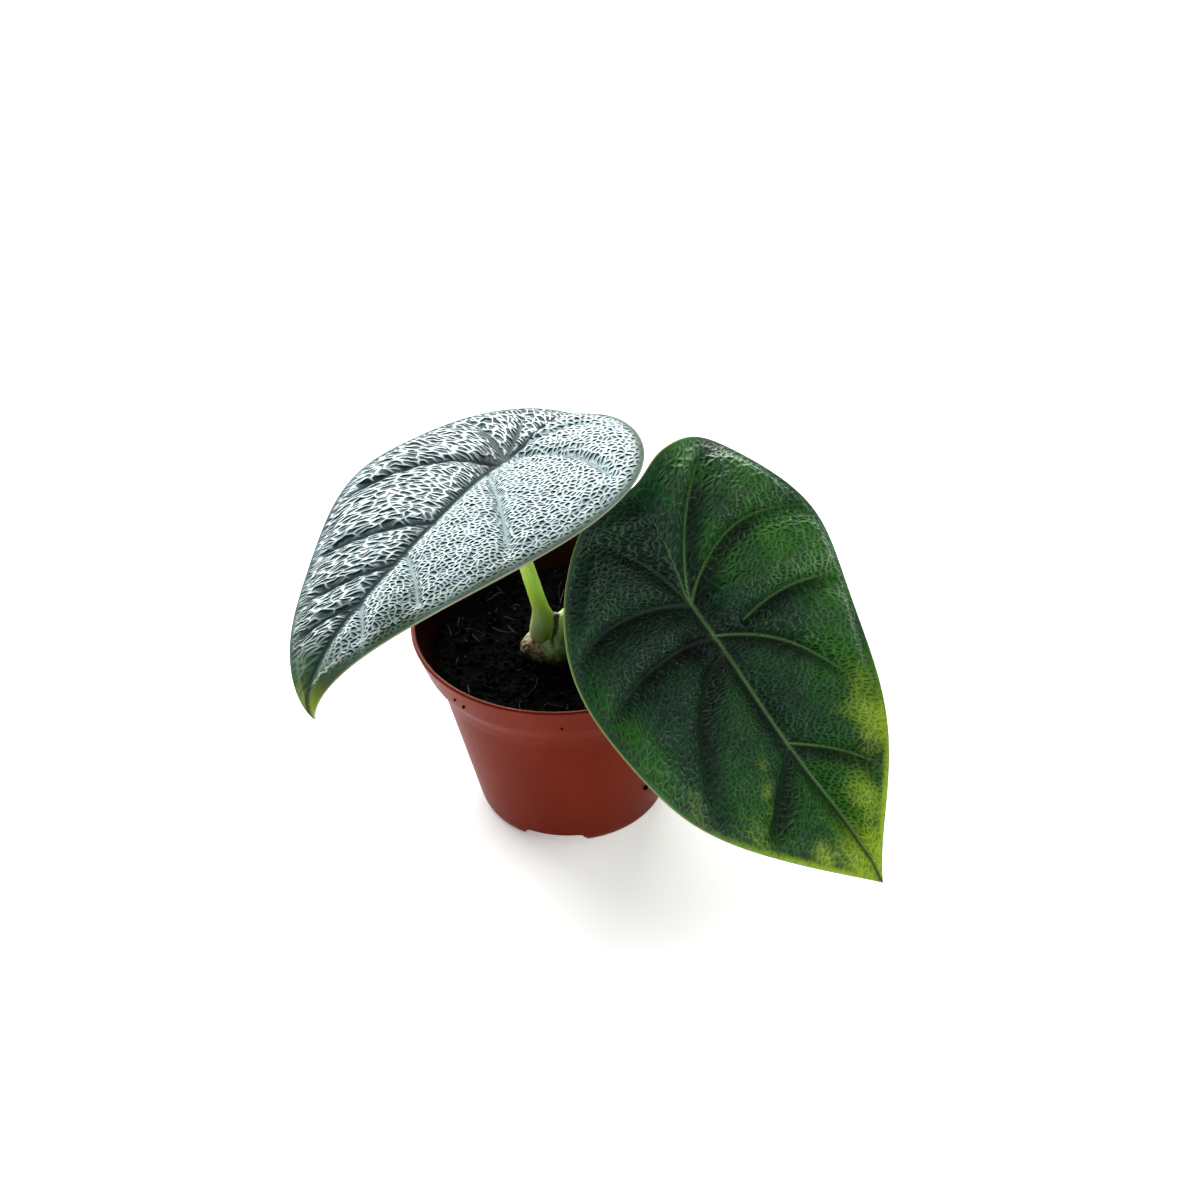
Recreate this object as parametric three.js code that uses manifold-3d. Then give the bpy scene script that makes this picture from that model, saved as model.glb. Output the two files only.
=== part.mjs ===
// Potted maharani alocasia: a young plant with two thick, quilted leaves in a small nursery pot.
// Millimetres, +Z up. The pot axis is x = 0, y = 0 while the pieces are built, and the finished
// group is shifted so that the origin lies at the bottom centre of the whole plant.
import * as THREE from 'three';
import { mergeVertices } from 'three/addons/utils/BufferGeometryUtils.js';
import Module from 'manifold-3d';

const wasm = await Module();
wasm.setup();

// Driving dimensions
const GAP = 0.3;               // clearance between neighbouring pieces
const POT_HEIGHT = 43.1;
const RIM_RADIUS = 30;
const COLLAR_HEIGHT = 34.6;    // underside of the raised collar below the rim
const COLLAR_RADIUS = 27.5;
const WALL_TOP_RADIUS = 25.7;  // outer wall just under the collar
const BASE_RADIUS = 19.2;
const FOOT_RADIUS = 17.8;
const FOOT_WIDTH = 1.8;
const FOOT_HEIGHT = 2.4;
const WALL = 0.8;
const NOTCH_ANGLES = [-103, 17, 137];  // degrees from +X
const NOTCH_WIDTH = 12.3;
const DRAIN_HOLES = 4;
const DRAIN_RADIUS = 2;
const SOIL_LEVEL = 36.6;
const CORM_BOTTOM = 29;
const CORM_TOP = 46;
const CORM_CENTRE = [-2.2, -2.9];
const BLADE_THICKNESS = 1.0;
const MARGIN_THICKNESS = 0.7;
const VEIN_DEPTH = 0.35;       // groove on the upper face, larger than life
const RIB_HEIGHT = 0.5;        // raised vein on the underside
const MIDRIB_RIB = 0.9;
const QUILT = 0.8;             // swelling of the blade between two veins
const NET = 0.22;              // raised net of small cells
const NET_CELL = 4.8;
const ROW_PITCH = 2.7;         // triangle size along the margin
const COLUMNS = 13;            // triangle rows from midrib to margin
const MIDRIB_STRIP = 1.5;      // half width of the midrib strip

// A leaf lies flat with u along the midrib, 0 at the leaf stalk and positive toward the tip, and
// v across it. The blade bends by the slope of the midrib, by a fold and an arch on each side,
// and by a wave of the margin. The midrib bows off the middle line: the bow is its size and how
// late it comes. Side "left" is v > 0. A vein is [start u, share of the margin from back to tip
// where it ends, u and v of its bend].
const LEFT_LEAF = {
  stalkTop: [-8.93, -6.36, 85.05],
  turn: [-2.219, -0.065, 0.24],      // about Z, Y and X, radians
  front: 69.65,
  back: 23.33,
  outline: [0.515, 1.119],
  droop: [0.381, 0.153, 1.694],
  rise: [-0.046, 0.244],
  sinus: 1.4,
  dimple: 0.84,
  bow: [3.3, 1],
  left: {
    width: 28.87, fold: [-0.003, -0.358], arch: [0.317, -0.563], wave: [0.321, -0.296],
    veins: [[0, 0.03, -16, 0.5], [0, 0.26, -9, 12], [6, 0.57, 15, 12], [33, 0.75, 39, 11],
      [46, 0.85, 50, 6]],
  },
  right: {
    width: 29.14, fold: [-0.001, -0.291], arch: [0.094, 0.377], wave: [-1.628, 0.863],
    veins: [[0, 0.025, -12, -4], [0, 0.1, -9, -10], [2, 0.48, 1, -20], [24, 0.63, 26, -13],
      [36, 0.76, 41, -9], [46, 0.86, 50, -5]],
  },
};
const RIGHT_LEAF = {
  stalkTop: [25.23, -19.47, 58.57],
  turn: [-0.5, 0.996, 0.324],
  front: 67.01,
  back: 29.71,
  outline: [0.52, 1.074],
  droop: [-0.042, -0.034, -0.256],
  rise: [-0.243, 0.05],
  sinus: 3.24,
  dimple: 1.19,
  bow: [2, 3.7],
  left: {
    width: 35.66, fold: [0.24, 0.111], arch: [0.705, -1.597], wave: [3.924, -0.849],
    veins: [[0, 0.075, -20, 5], [0, 0.32, -15, 13], [5, 0.48, 5, 16], [7, 0.71, 17.5, 18],
      [33, 0.82, 41.5, 11]],
  },
  right: {
    width: 35.98, fold: [-0.046, 0.075], arch: [-0.453, 0.697], wave: [-2.03, 0.147],
    veins: [[0, 0.03, -14, -3], [0, 0.22, -12, -16], [7.5, 0.34, 1, -13], [11, 0.7, 14, -19],
      [34, 0.79, 41.5, -10]],
  },
};

const clamp = (x, a, b) => Math.min(b, Math.max(a, x));
const mix = (a, b, t) => a + (b - a) * t;
const bell = (x) => Math.exp(-x * x);

function smooth(a, b, x) {
  const t = clamp((x - a) / (b - a), 0, 1);
  return t * t * (3 - 2 * t);
}

// Seeded random numbers from 0 to 1
function makeRandom(seed) {
  let state = seed;
  return () => {
    state = (state * 1664525 + 1013904223) % 4294967296;
    return state / 4294967296;
  };
}

// Solids for joining and cutting
function toSolid(geometry) {
  const bare = geometry.clone();
  bare.deleteAttribute('normal');
  bare.deleteAttribute('uv');
  const merged = mergeVertices(bare, 1e-4);
  return new wasm.Manifold(new wasm.Mesh({
    numProp: 3,
    vertProperties: Float32Array.from(merged.attributes.position.array),
    triVerts: Uint32Array.from(merged.index.array),
  }));
}

function fromSolid(solid) {
  const mesh = solid.getMesh();
  const geometry = new THREE.BufferGeometry();
  geometry.setAttribute('position', new THREE.BufferAttribute(mesh.vertProperties, 3));
  geometry.setIndex(new THREE.BufferAttribute(mesh.triVerts, 1));
  geometry.computeVertexNormals();
  return geometry;
}

function closedGeometry(points, faces) {
  const geometry = new THREE.BufferGeometry();
  geometry.setAttribute('position', new THREE.Float32BufferAttribute(points.flat(), 3));
  geometry.setIndex(faces.flat());
  geometry.computeVertexNormals();
  return geometry;
}

// Stack of rings closed by one point at each end, from the bottom up
function ringBody(bottom, rings, top) {
  const points = [bottom];
  const faces = [];
  const count = rings[0].length;
  rings.forEach((ring) => points.push(...ring));
  points.push(top);
  const at = (r, k) => 1 + r * count + (k % count);
  for (let k = 0; k < count; k += 1) {
    faces.push([0, at(0, k + 1), at(0, k)]);
    for (let r = 0; r + 1 < rings.length; r += 1) {
      faces.push([at(r, k), at(r, k + 1), at(r + 1, k + 1)]);
      faces.push([at(r, k), at(r + 1, k + 1), at(r + 1, k)]);
    }
    faces.push([points.length - 1, at(rings.length - 1, k), at(rings.length - 1, k + 1)]);
  }
  return closedGeometry(points, faces);
}

// Half width of the blade as a share of its widest place, s from back 0 to tip 1
function halfWidth(leaf, s) {
  const [a, b] = leaf.outline;
  const widest = a / (a + b);
  return (s / widest) ** a * ((1 - s) / (1 - widest)) ** b;
}

function marginPoint(leaf, side, s) {
  const length = leaf.front + leaf.back;
  const sign = side === 'left' ? 1 : -1;
  const v = sign * leaf[side].width * halfWidth(leaf, clamp(s, 0, 1));
  const u = -leaf.back + s * length + leaf.sinus * bell(v / 6) * clamp(1 - s / 0.4, 0, 1);
  return [u, v];
}

// How far the midrib's bow shifts the blade across: fully at the midrib, not at all at the margin
function bowSize(leaf, u) {
  const [size, late] = leaf.bow;
  return size * Math.sin(Math.PI * clamp(u / leaf.front, 0, 1) ** late);
}

function fullWidth(leaf, u, side) {
  const s = clamp((u + leaf.back) / (leaf.front + leaf.back), 0, 1);
  return Math.max(leaf[side].width * halfWidth(leaf, s), 1e-3);
}

function bowShift(leaf, u, v) {
  const share = v / fullWidth(leaf, u, v >= 0 ? 'left' : 'right');
  return bowSize(leaf, u) * clamp(1 - share * share, 0, 1);
}

// Place of the bowed midrib across the leaf, where v is its own shift
function midribPlace(leaf, u) {
  const width = fullWidth(leaf, u, 'left');
  const share = bowSize(leaf, u) / width;
  if (share < 1e-5) return 0;
  return (width * (Math.sqrt(1 + 4 * share * share) - 1)) / (2 * share);
}

// Midrib in its own plane: distance, height and slope at each u
function makeMidrib(leaf) {
  const step = 0.5;
  const first = -Math.ceil(leaf.back / step) - 4;
  const last = Math.ceil(leaf.front / step) + 4;
  const slope = (u) => {
    const x = Math.max(u, 0) / leaf.front;
    const y = Math.max(-u, 0) / leaf.back;
    const [d1, d3, hook] = leaf.droop;
    return leaf.rise[0] * y + leaf.rise[1] * y * y - d1 * x - d3 * x ** 3 - hook * x ** 10;
  };
  const table = [];
  let x = 0;
  let z = 0;
  for (let i = first; i <= last; i += 1) {
    table.push([x, z]);
    const middle = slope((i + 0.5) * step);
    x += Math.cos(middle) * step;
    z += Math.sin(middle) * step;
  }
  const [x0, z0] = table[-first];
  return (u) => {
    const place = clamp(u / step - first, 0, table.length - 1.001);
    const i = Math.floor(place);
    const [xa, za] = table[i];
    const [xb, zb] = table[i + 1];
    return [mix(xa, xb, place - i) - x0, mix(za, zb, place - i) - z0, slope(u)];
  };
}

// Middle surface of the blade: flat place to a point of the plant
function makeSurface(leaf) {
  const midrib = makeMidrib(leaf);
  const turn = new THREE.Matrix4().makeRotationFromEuler(
    new THREE.Euler(leaf.turn[2], leaf.turn[1], leaf.turn[0], 'ZYX'),
  );
  const origin = new THREE.Vector3(...leaf.stalkTop);
  const length = leaf.front + leaf.back;
  const place = (u, v) => {
    const shift = bowShift(leaf, u, v);
    const off = v - shift;
    const side = off >= 0 ? leaf.left : leaf.right;
    const s = (u + leaf.back) / length;
    const toTip = s - leaf.back / length;
    const far = Math.abs(off);
    const fold = side.fold[0] + side.fold[1] * toTip;
    let curl = (side.arch[0] + side.arch[1] * toTip) / 30;
    curl = Math.abs(curl) < 1e-6 ? 1e-6 : curl;
    const across = (Math.sin(fold) - Math.sin(fold - curl * far)) / curl;
    let lift = (Math.cos(fold - curl * far) - Math.cos(fold)) / curl;
    lift += side.wave[0] * Math.sin(3 * Math.PI * s + side.wave[1]) * (far / 30) ** 2;
    lift -= leaf.dimple * Math.exp(-(u * u + v * v) / 49);
    const [x, z, slope] = midrib(u);
    const point = new THREE.Vector3(
      x - lift * Math.sin(slope),
      shift + (off >= 0 ? across : -across),
      z + lift * Math.cos(slope),
    );
    return point.applyMatrix4(turn).add(origin);
  };
  const normal = (u, v) => {
    const side = v >= bowShift(leaf, u, v) ? 1 : -1;
    const along = place(u + 0.2, v).sub(place(u - 0.2, v));
    const over = place(u, v + 0.2 * side).sub(place(u, v)).multiplyScalar(side);
    return along.cross(over).normalize();
  };
  return { place, normal };
}

// A vein or a row between two veins, as start, bend and end in the flat leaf
function rowCurve(leaf, side, from, to, share) {
  const [startA, endA, bendUA, bendVA] = from;
  const [startB, endB, bendUB, bendVB] = to;
  const end = marginPoint(leaf, side, mix(endA, endB, share));
  const bend = [mix(bendUA, bendUB, share), mix(bendVA, bendVB, share)];
  const start = mix(startA, startB, share);
  return [[start, midribPlace(leaf, start)], bend, end];
}

function onCurve([p, q, r], t) {
  const w = 1 - t;
  return [0, 1].map((i) => w * w * p[i] + 2 * w * t * q[i] + t * t * r[i]);
}

function curveLength(curve) {
  let total = 0;
  for (let i = 0; i < 12; i += 1) {
    const [a, b] = onCurve(curve, i / 12);
    const [c, d] = onCurve(curve, (i + 1) / 12);
    total += Math.hypot(c - a, d - b);
  }
  return total;
}

// All veins of one side, with the back midline and the tip midline as the first and last row
function framedVeins(leaf, side) {
  const tipStart = 0.86 * leaf.front;
  const tipBend = (tipStart + leaf.front) / 2;
  const backEnd = marginPoint(leaf, side, 0)[0];
  return [
    [0, 0, backEnd / 2, 0],
    ...leaf[side].veins,
    [tipStart, 1, tipBend, midribPlace(leaf, tipBend)],
  ];
}

function makeRows(leaf, side) {
  const veins = framedVeins(leaf, side);
  const rows = [];
  for (let k = 0; k + 1 < veins.length; k += 1) {
    let reach = 0;
    for (let i = 0; i < 10; i += 1) {
      const a = marginPoint(leaf, side, mix(veins[k][1], veins[k + 1][1], i / 10));
      const b = marginPoint(leaf, side, mix(veins[k][1], veins[k + 1][1], (i + 1) / 10));
      reach += Math.hypot(b[0] - a[0], b[1] - a[1]);
    }
    const count = Math.max(3, Math.round(reach / ROW_PITCH));
    for (let i = 0; i < count; i += 1) {
      const share = i / count;
      const crowded = share - 0.09 * Math.sin(2 * Math.PI * share);
      rows.push(rowCurve(leaf, side, veins[k], veins[k + 1], crowded));
    }
  }
  const last = veins.length - 1;
  rows.push(rowCurve(leaf, side, veins[last], veins[last], 0));
  return rows;
}

function makeVeinDistance(leaf) {
  const lines = [];
  ['left', 'right'].forEach((side) => {
    leaf[side].veins.forEach((vein) => {
      const curve = rowCurve(leaf, side, vein, vein, 0);
      const line = [];
      for (let i = 0; i <= 14; i += 1) line.push(onCurve(curve, i / 14));
      lines.push(line);
    });
  });
  return (u, v) => {
    let nearest = Infinity;
    lines.forEach((line) => {
      for (let i = 0; i + 1 < line.length; i += 1) {
        const [ax, ay] = line[i];
        const bx = line[i + 1][0] - ax;
        const by = line[i + 1][1] - ay;
        const t = clamp(((u - ax) * bx + (v - ay) * by) / (bx * bx + by * by), 0, 1);
        nearest = Math.min(nearest, Math.hypot(u - ax - t * bx, v - ay - t * by));
      }
    });
    return nearest;
  };
}

// Heights of the upper and the lower face over the middle surface
function makeRelief(leaf) {
  const veinDistance = makeVeinDistance(leaf);
  const length = leaf.front + leaf.back;
  return (u, v) => {
    const side = v >= 0 ? leaf.left : leaf.right;
    const s = clamp((u + leaf.back) / length, 0.001, 0.999);
    const room = Math.max(side.width * halfWidth(leaf, s) - Math.abs(v), 0);
    const inside = smooth(0, 4, room);
    const vein = veinDistance(u, v);
    const off = Math.abs(v - bowShift(leaf, u, v));
    const rib = off * (u > 0 ? 1 : 0.6) + (u > 0 ? 0 : -0.5 * u);
    const open = (1 - bell(vein / 3.2)) * (1 - bell(rib / 3.4));
    const wobble = 1.1 * Math.sin(0.31 * u + 0.2 * v) + 0.9 * Math.sin(0.27 * v - 0.12 * u);
    const turn = (2 * Math.PI) / NET_CELL;
    const cells = Math.cos(turn * (u + 0.5 * v) + wobble) * Math.cos(turn * (v - 0.35 * u) - wobble);
    const swell = inside * (QUILT * open + NET * cells * (1 - bell(vein / 2)));
    const groove = VEIN_DEPTH * inside * Math.max(bell(vein / 1.1), bell(rib / 1.2));
    const thin = mix(MARGIN_THICKNESS, BLADE_THICKNESS, inside) / 2;
    const taper = mix(1, 0.35, clamp(u / leaf.front, 0, 1));
    const under = inside * (RIB_HEIGHT * bell(vein / 1.2) + MIDRIB_RIB * taper * bell(rib / 1.4));
    return [thin + swell - groove, -thin + swell - groove * 0.3 - under];
  };
}

// Triangles between two chains of vertices, always over the shorter diagonal
function zipper(flat, chainA, chainB, add) {
  const gap = (a, b) => Math.hypot(flat[a][0] - flat[b][0], flat[a][1] - flat[b][1]);
  let i = 0;
  let j = 0;
  while (i + 1 < chainA.length || j + 1 < chainB.length) {
    const canA = i + 1 < chainA.length;
    const canB = j + 1 < chainB.length;
    if (canA && (!canB || gap(chainA[i + 1], chainB[j]) < gap(chainA[i], chainB[j + 1]))) {
      add(chainA[i], chainA[i + 1], chainB[j]);
      i += 1;
    } else {
      add(chainA[i], chainB[j + 1], chainB[j]);
      j += 1;
    }
  }
}

// Flat net of triangles whose rows follow the veins, with its margin loop
function makeNet(leaf) {
  const flat = [];
  const known = new Map();
  const faces = [];
  const vertex = ([u, v]) => {
    const key = `${Math.round(u * 1000)}_${Math.round(v * 1000)}`;
    if (!known.has(key)) {
      known.set(key, flat.length);
      flat.push([u, Math.abs(v) < 5e-4 ? 0 : v]);
    }
    return known.get(key);
  };
  const spine = [];
  const tipStart = 0.86 * leaf.front;
  const spineCount = Math.round(tipStart / 2.5);
  for (let i = 0; i <= spineCount; i += 1) {
    const u = (tipStart * i) / spineCount;
    spine.push(vertex([u, midribPlace(leaf, u)]));
  }
  const margins = {};
  ['left', 'right'].forEach((side) => {
    const add = (a, b, c) => {
      if (a === b || b === c || a === c) return;
      faces.push(side === 'left' ? [a, b, c] : [a, c, b]);
    };
    const grid = makeRows(leaf, side).map((curve) => {
      const inner = MIDRIB_STRIP / curveLength(curve);
      const row = [];
      for (let j = 0; j <= COLUMNS; j += 1) {
        row.push(vertex(onCurve(curve, mix(inner, 1, j / COLUMNS))));
      }
      return row;
    });
    zipper(flat, spine, grid.map((row) => row[0]), add);
    for (let i = 0; i + 1 < grid.length; i += 1) {
      for (let j = 0; j < COLUMNS; j += 1) {
        add(grid[i][j], grid[i + 1][j], grid[i + 1][j + 1]);
        add(grid[i][j], grid[i + 1][j + 1], grid[i][j + 1]);
      }
    }
    margins[side] = grid.map((row) => row[COLUMNS]);
  });
  const loop = [...margins.right, ...margins.left.slice(1, -1).reverse()];
  return { flat, faces, loop };
}

// Closed blade; "extra" thickens the underside, for a cutter that keeps a gap to the blade
function makeBlade(leaf, extra = 0) {
  const { place, normal } = makeSurface(leaf);
  const relief = makeRelief(leaf);
  const { flat, faces, loop } = makeNet(leaf);
  const upper = [];
  const lower = [];
  flat.forEach(([u, v]) => {
    const base = place(u, v);
    const up = normal(u, v);
    const [high, low] = relief(u, v);
    upper.push(base.clone().addScaledVector(up, high).toArray());
    lower.push(base.clone().addScaledVector(up, low - extra).toArray());
  });
  const count = flat.length;
  const all = [];
  faces.forEach(([a, b, c]) => {
    all.push([a, b, c]);
    all.push([a + count, c + count, b + count]);
  });
  loop.forEach((a, i) => {
    const b = loop[(i + 1) % loop.length];
    all.push([a + count, b + count, b]);
    all.push([a + count, b, a]);
  });
  return closedGeometry([...upper, ...lower], all);
}

// Nursery pot: tapered wall, raised collar, rim, raised floor on a notched foot ring
function makePot() {
  const inner = RIM_RADIUS - WALL - 0.2;
  const profile = [
    [0, FOOT_HEIGHT], [FOOT_RADIUS - FOOT_WIDTH - 0.3, FOOT_HEIGHT],
    [FOOT_RADIUS - FOOT_WIDTH, 0], [FOOT_RADIUS, 0],
    [BASE_RADIUS - 0.5, 0.6], [BASE_RADIUS, 1.8],
    [WALL_TOP_RADIUS, COLLAR_HEIGHT - 1.6], [WALL_TOP_RADIUS + 0.45, COLLAR_HEIGHT - 0.7],
    [COLLAR_RADIUS - 0.7, COLLAR_HEIGHT + 0.1], [COLLAR_RADIUS, COLLAR_HEIGHT + 0.9],
    [RIM_RADIUS - 0.1, POT_HEIGHT - 0.6], [RIM_RADIUS, POT_HEIGHT - 0.3],
    [RIM_RADIUS - 0.15, POT_HEIGHT - 0.05], [RIM_RADIUS - 0.5, POT_HEIGHT],
    [inner + 0.15, POT_HEIGHT - 0.1], [inner - 0.1, POT_HEIGHT - 0.5],
    [COLLAR_RADIUS - WALL, COLLAR_HEIGHT + 0.9], [WALL_TOP_RADIUS - WALL, COLLAR_HEIGHT - 0.6],
    [BASE_RADIUS - WALL - 0.1, FOOT_HEIGHT + 1.6], [BASE_RADIUS - WALL - 0.6, FOOT_HEIGHT + 1],
    [0, FOOT_HEIGHT + 1],
  ].map(([r, z]) => new THREE.Vector2(r, z));
  const wall = new THREE.LatheGeometry(profile, 48);
  wall.rotateX(Math.PI / 2);
  let solid = toSolid(wall);
  NOTCH_ANGLES.forEach((degrees) => {
    const notch = new THREE.BoxGeometry(8, NOTCH_WIDTH, FOOT_HEIGHT * 2);
    notch.translate(FOOT_RADIUS, 0, 0);
    notch.rotateZ(THREE.MathUtils.degToRad(degrees));
    solid = solid.subtract(toSolid(notch));
  });
  for (let i = 0; i < DRAIN_HOLES; i += 1) {
    const hole = new THREE.CylinderGeometry(DRAIN_RADIUS, DRAIN_RADIUS, 6, 12);
    hole.rotateX(Math.PI / 2);
    hole.translate(10, 0, FOOT_HEIGHT);
    hole.rotateZ(((i + 0.5) * 2 * Math.PI) / DRAIN_HOLES);
    solid = solid.subtract(toSolid(hole));
  }
  return fromSolid(solid);
}

// Corm: swollen base, wider to its left, narrowing into an oval neck
function makeCorm(extra = 0) {
  const profile = [
    [0, 1.6], [0.1, 3.2], [0.25, 4.4], [0.42, 5], [0.53, 5.35], [0.62, 5.3],
    [0.71, 4.8], [0.8, 4.2], [0.88, 3.7], [0.94, 3.1], [0.98, 2.1],
  ];
  const segments = 28;
  const rings = profile.map(([share, radius]) => {
    const ring = [];
    for (let k = 0; k < segments; k += 1) {
      const angle = (2 * Math.PI * k) / segments;
      const bulge = 1.0 * bell((share - 0.55) / 0.16) * bell((angle - Math.PI) / 0.7);
      const uneven = 0.18 * Math.sin(3 * angle + 9 * share) + 0.1 * Math.sin(7 * angle - 5 * share);
      const r = radius + bulge + uneven + extra;
      const flatten = mix(0.95, 0.72, smooth(0.6, 0.95, share));
      const lean = 0.9 * smooth(0.5, 1, share);
      const z = mix(CORM_BOTTOM - extra, CORM_TOP + extra, share);
      ring.push([
        CORM_CENTRE[0] + lean + r * Math.cos(angle),
        CORM_CENTRE[1] + r * flatten * Math.sin(angle),
        z,
      ]);
    }
    return ring;
  });
  const bottom = [CORM_CENTRE[0], CORM_CENTRE[1], CORM_BOTTOM - extra - 0.4];
  const top = [CORM_CENTRE[0] + 0.9, CORM_CENTRE[1], CORM_TOP + extra];
  return ringBody(bottom, rings, top);
}

// Leaf stalk: round, thicker toward the corm, slightly flared under the blade
function makeStalk(path, base, tip, flare) {
  const spots = path.map((p) => new THREE.Vector3(...p));
  const curve = new THREE.CatmullRomCurve3(spots, false, 'centripetal');
  const steps = 18;
  const segments = 12;
  const frames = curve.computeFrenetFrames(steps, false);
  const points = curve.getSpacedPoints(steps);
  const rings = points.map((point, i) => {
    const share = i / steps;
    const radius = mix(base, tip, share ** 0.7) + flare * smooth(0.86, 1, share);
    const ring = [];
    for (let k = 0; k < segments; k += 1) {
      const angle = (2 * Math.PI * k) / segments;
      const spot = point.clone()
        .addScaledVector(frames.normals[i], radius * Math.cos(angle))
        .addScaledVector(frames.binormals[i], radius * Math.sin(angle));
      ring.push(spot.toArray());
    }
    return ring;
  });
  return ringBody(points[0].toArray(), rings, points[steps].toArray());
}

// Soil: fills the pot below the rim, with a crumbly top
function makeSoil() {
  const random = makeRandom(20);
  const lumps = [];
  for (let i = 0; i < 70; i += 1) {
    const angle = 2 * Math.PI * random();
    const far = 26 * Math.sqrt(random());
    lumps.push([far * Math.cos(angle), far * Math.sin(angle), 1.4 + 1.8 * random(),
      0.25 + 0.55 * random()]);
  }
  const topHeight = (x, y) => {
    let z = SOIL_LEVEL + 0.25 * Math.sin(0.35 * x + 1) * Math.cos(0.3 * y);
    lumps.forEach(([cx, cy, size, high]) => {
      z += high * bell(Math.hypot(x - cx, y - cy) / size);
    });
    return z;
  };
  const segments = 44;
  const floor = FOOT_HEIGHT + 1 + GAP;
  const side = [
    [BASE_RADIUS - WALL - 0.6 - GAP, floor],
    [BASE_RADIUS - WALL - 0.1 - GAP, floor + 0.5],
    [WALL_TOP_RADIUS - WALL - GAP - 0.05, COLLAR_HEIGHT - 0.4],
    [COLLAR_RADIUS - WALL - GAP - 0.25, COLLAR_HEIGHT + 1.2],
  ];
  const ringAt = (radius, height) => {
    const ring = [];
    for (let k = 0; k < segments; k += 1) {
      const angle = (2 * Math.PI * k) / segments;
      const x = radius * Math.cos(angle);
      const y = radius * Math.sin(angle);
      ring.push([x, y, height(x, y)]);
    }
    return ring;
  };
  const rings = side.map(([r, z]) => ringAt(r, () => z));
  const edge = side[3][0];
  for (let i = 10; i >= 1; i -= 1) rings.push(ringAt((edge * i) / 10.3, topHeight));
  return ringBody([0, 0, floor], rings, [0, 0, topHeight(0, 0)]);
}

function piece(name, geometry, color, roughness) {
  const material = new THREE.MeshStandardMaterial({ color, roughness, metalness: 0 });
  const mesh = new THREE.Mesh(geometry, material);
  mesh.name = name;
  return mesh;
}

// Leaf stalks run from inside the corm to the middle of the blade and are then cut back to
// leave the gap at both ends; crumbs beyond the cuts are dropped
function cutStalk(stalk, leaf) {
  const blade = toSolid(makeBlade(leaf, GAP));
  const corm = toSolid(makeCorm(GAP));
  const pieces = toSolid(stalk).subtract(blade).subtract(corm).decompose();
  pieces.sort((a, b) => b.volume() - a.volume());
  return fromSolid(pieces[0].simplify(0.03));
}

const leftStalk = makeStalk(
  [[-3.4, -2.9, 43.5], [-4.2, -3, 47.5], [-5.3, -3, 53], [-6.6, -3.4, 60], [-8.2, -5, 72],
    [-8.85, -6.4, 84.3]],
  1.8, 1.2, 0.5,
);
const rightStalk = makeStalk(
  [[0.5, -2.7, 43.2], [2.4, -2.9, 47], [6.5, -4.6, 50.5], [13, -9, 54.5], [19.5, -14.4, 56.8],
    [24.9, -19, 58.3]],
  1.8, 1.3, 0.5,
);
const soil = fromSolid(toSolid(makeSoil()).subtract(toSolid(makeCorm(GAP))).simplify(0.03));

const plant = new THREE.Group();
plant.add(
  piece('pot', makePot(), 0x7d3526, 0.5),
  piece('soil', soil, 0x1c1714, 0.95),
  piece('corm', makeCorm(), 0xa3ab6e, 0.6),
  piece('petiole_left', cutStalk(leftStalk, LEFT_LEAF), 0x9cc94a, 0.35),
  piece('petiole_right', cutStalk(rightStalk, RIGHT_LEAF), 0x8dbb42, 0.35),
  piece('leaf_left', makeBlade(LEFT_LEAF), 0x35584a, 0.4),
  piece('leaf_right', makeBlade(RIGHT_LEAF), 0x23482f, 0.45),
);

// Origin at the bottom centre of the whole plant
const bounds = new THREE.Box3().setFromObject(plant, true);
const centre = bounds.getCenter(new THREE.Vector3());
plant.position.set(-centre.x, -centre.y, -bounds.min.z);

const model = new THREE.Group();
model.add(plant);

export default model;
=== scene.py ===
"""Looks of the potted alocasia: quilted leaf blades, stalks, corm, crumbly soil and a moulded pot.

Shapes are worked out in millimetres around the pot's axis and become metres in the frame.
"""

import math

import bmesh
import bpy
import numpy as np
from mathutils import Matrix, Vector


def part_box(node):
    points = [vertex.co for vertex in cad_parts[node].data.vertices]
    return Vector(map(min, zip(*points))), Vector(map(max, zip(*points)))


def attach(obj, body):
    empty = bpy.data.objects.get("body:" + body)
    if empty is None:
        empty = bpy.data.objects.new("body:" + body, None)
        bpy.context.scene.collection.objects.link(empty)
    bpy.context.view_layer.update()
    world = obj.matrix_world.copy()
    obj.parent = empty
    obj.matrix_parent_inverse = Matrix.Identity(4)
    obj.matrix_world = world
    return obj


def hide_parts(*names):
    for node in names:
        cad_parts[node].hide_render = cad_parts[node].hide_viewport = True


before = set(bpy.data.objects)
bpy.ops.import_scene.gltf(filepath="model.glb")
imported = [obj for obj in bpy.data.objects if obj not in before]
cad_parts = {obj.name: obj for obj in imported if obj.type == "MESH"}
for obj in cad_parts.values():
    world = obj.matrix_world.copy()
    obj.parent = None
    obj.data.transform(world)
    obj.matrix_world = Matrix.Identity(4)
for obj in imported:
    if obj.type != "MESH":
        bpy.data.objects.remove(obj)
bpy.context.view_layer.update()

MM = 0.001
pot_low, pot_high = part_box("pot")
AXIS = np.array([(pot_low.x + pot_high.x) / 2, (pot_low.y + pot_high.y) / 2, 0.0])

# Camera: the photograph's place and angle, from the pot's axis, in millimetres and degrees
EYE = (7.37, -343.48, 304.38)
LOOK_DOWN = 36.9
ROLL = -2.98
LENS = 66
SENSOR = 36

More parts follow.
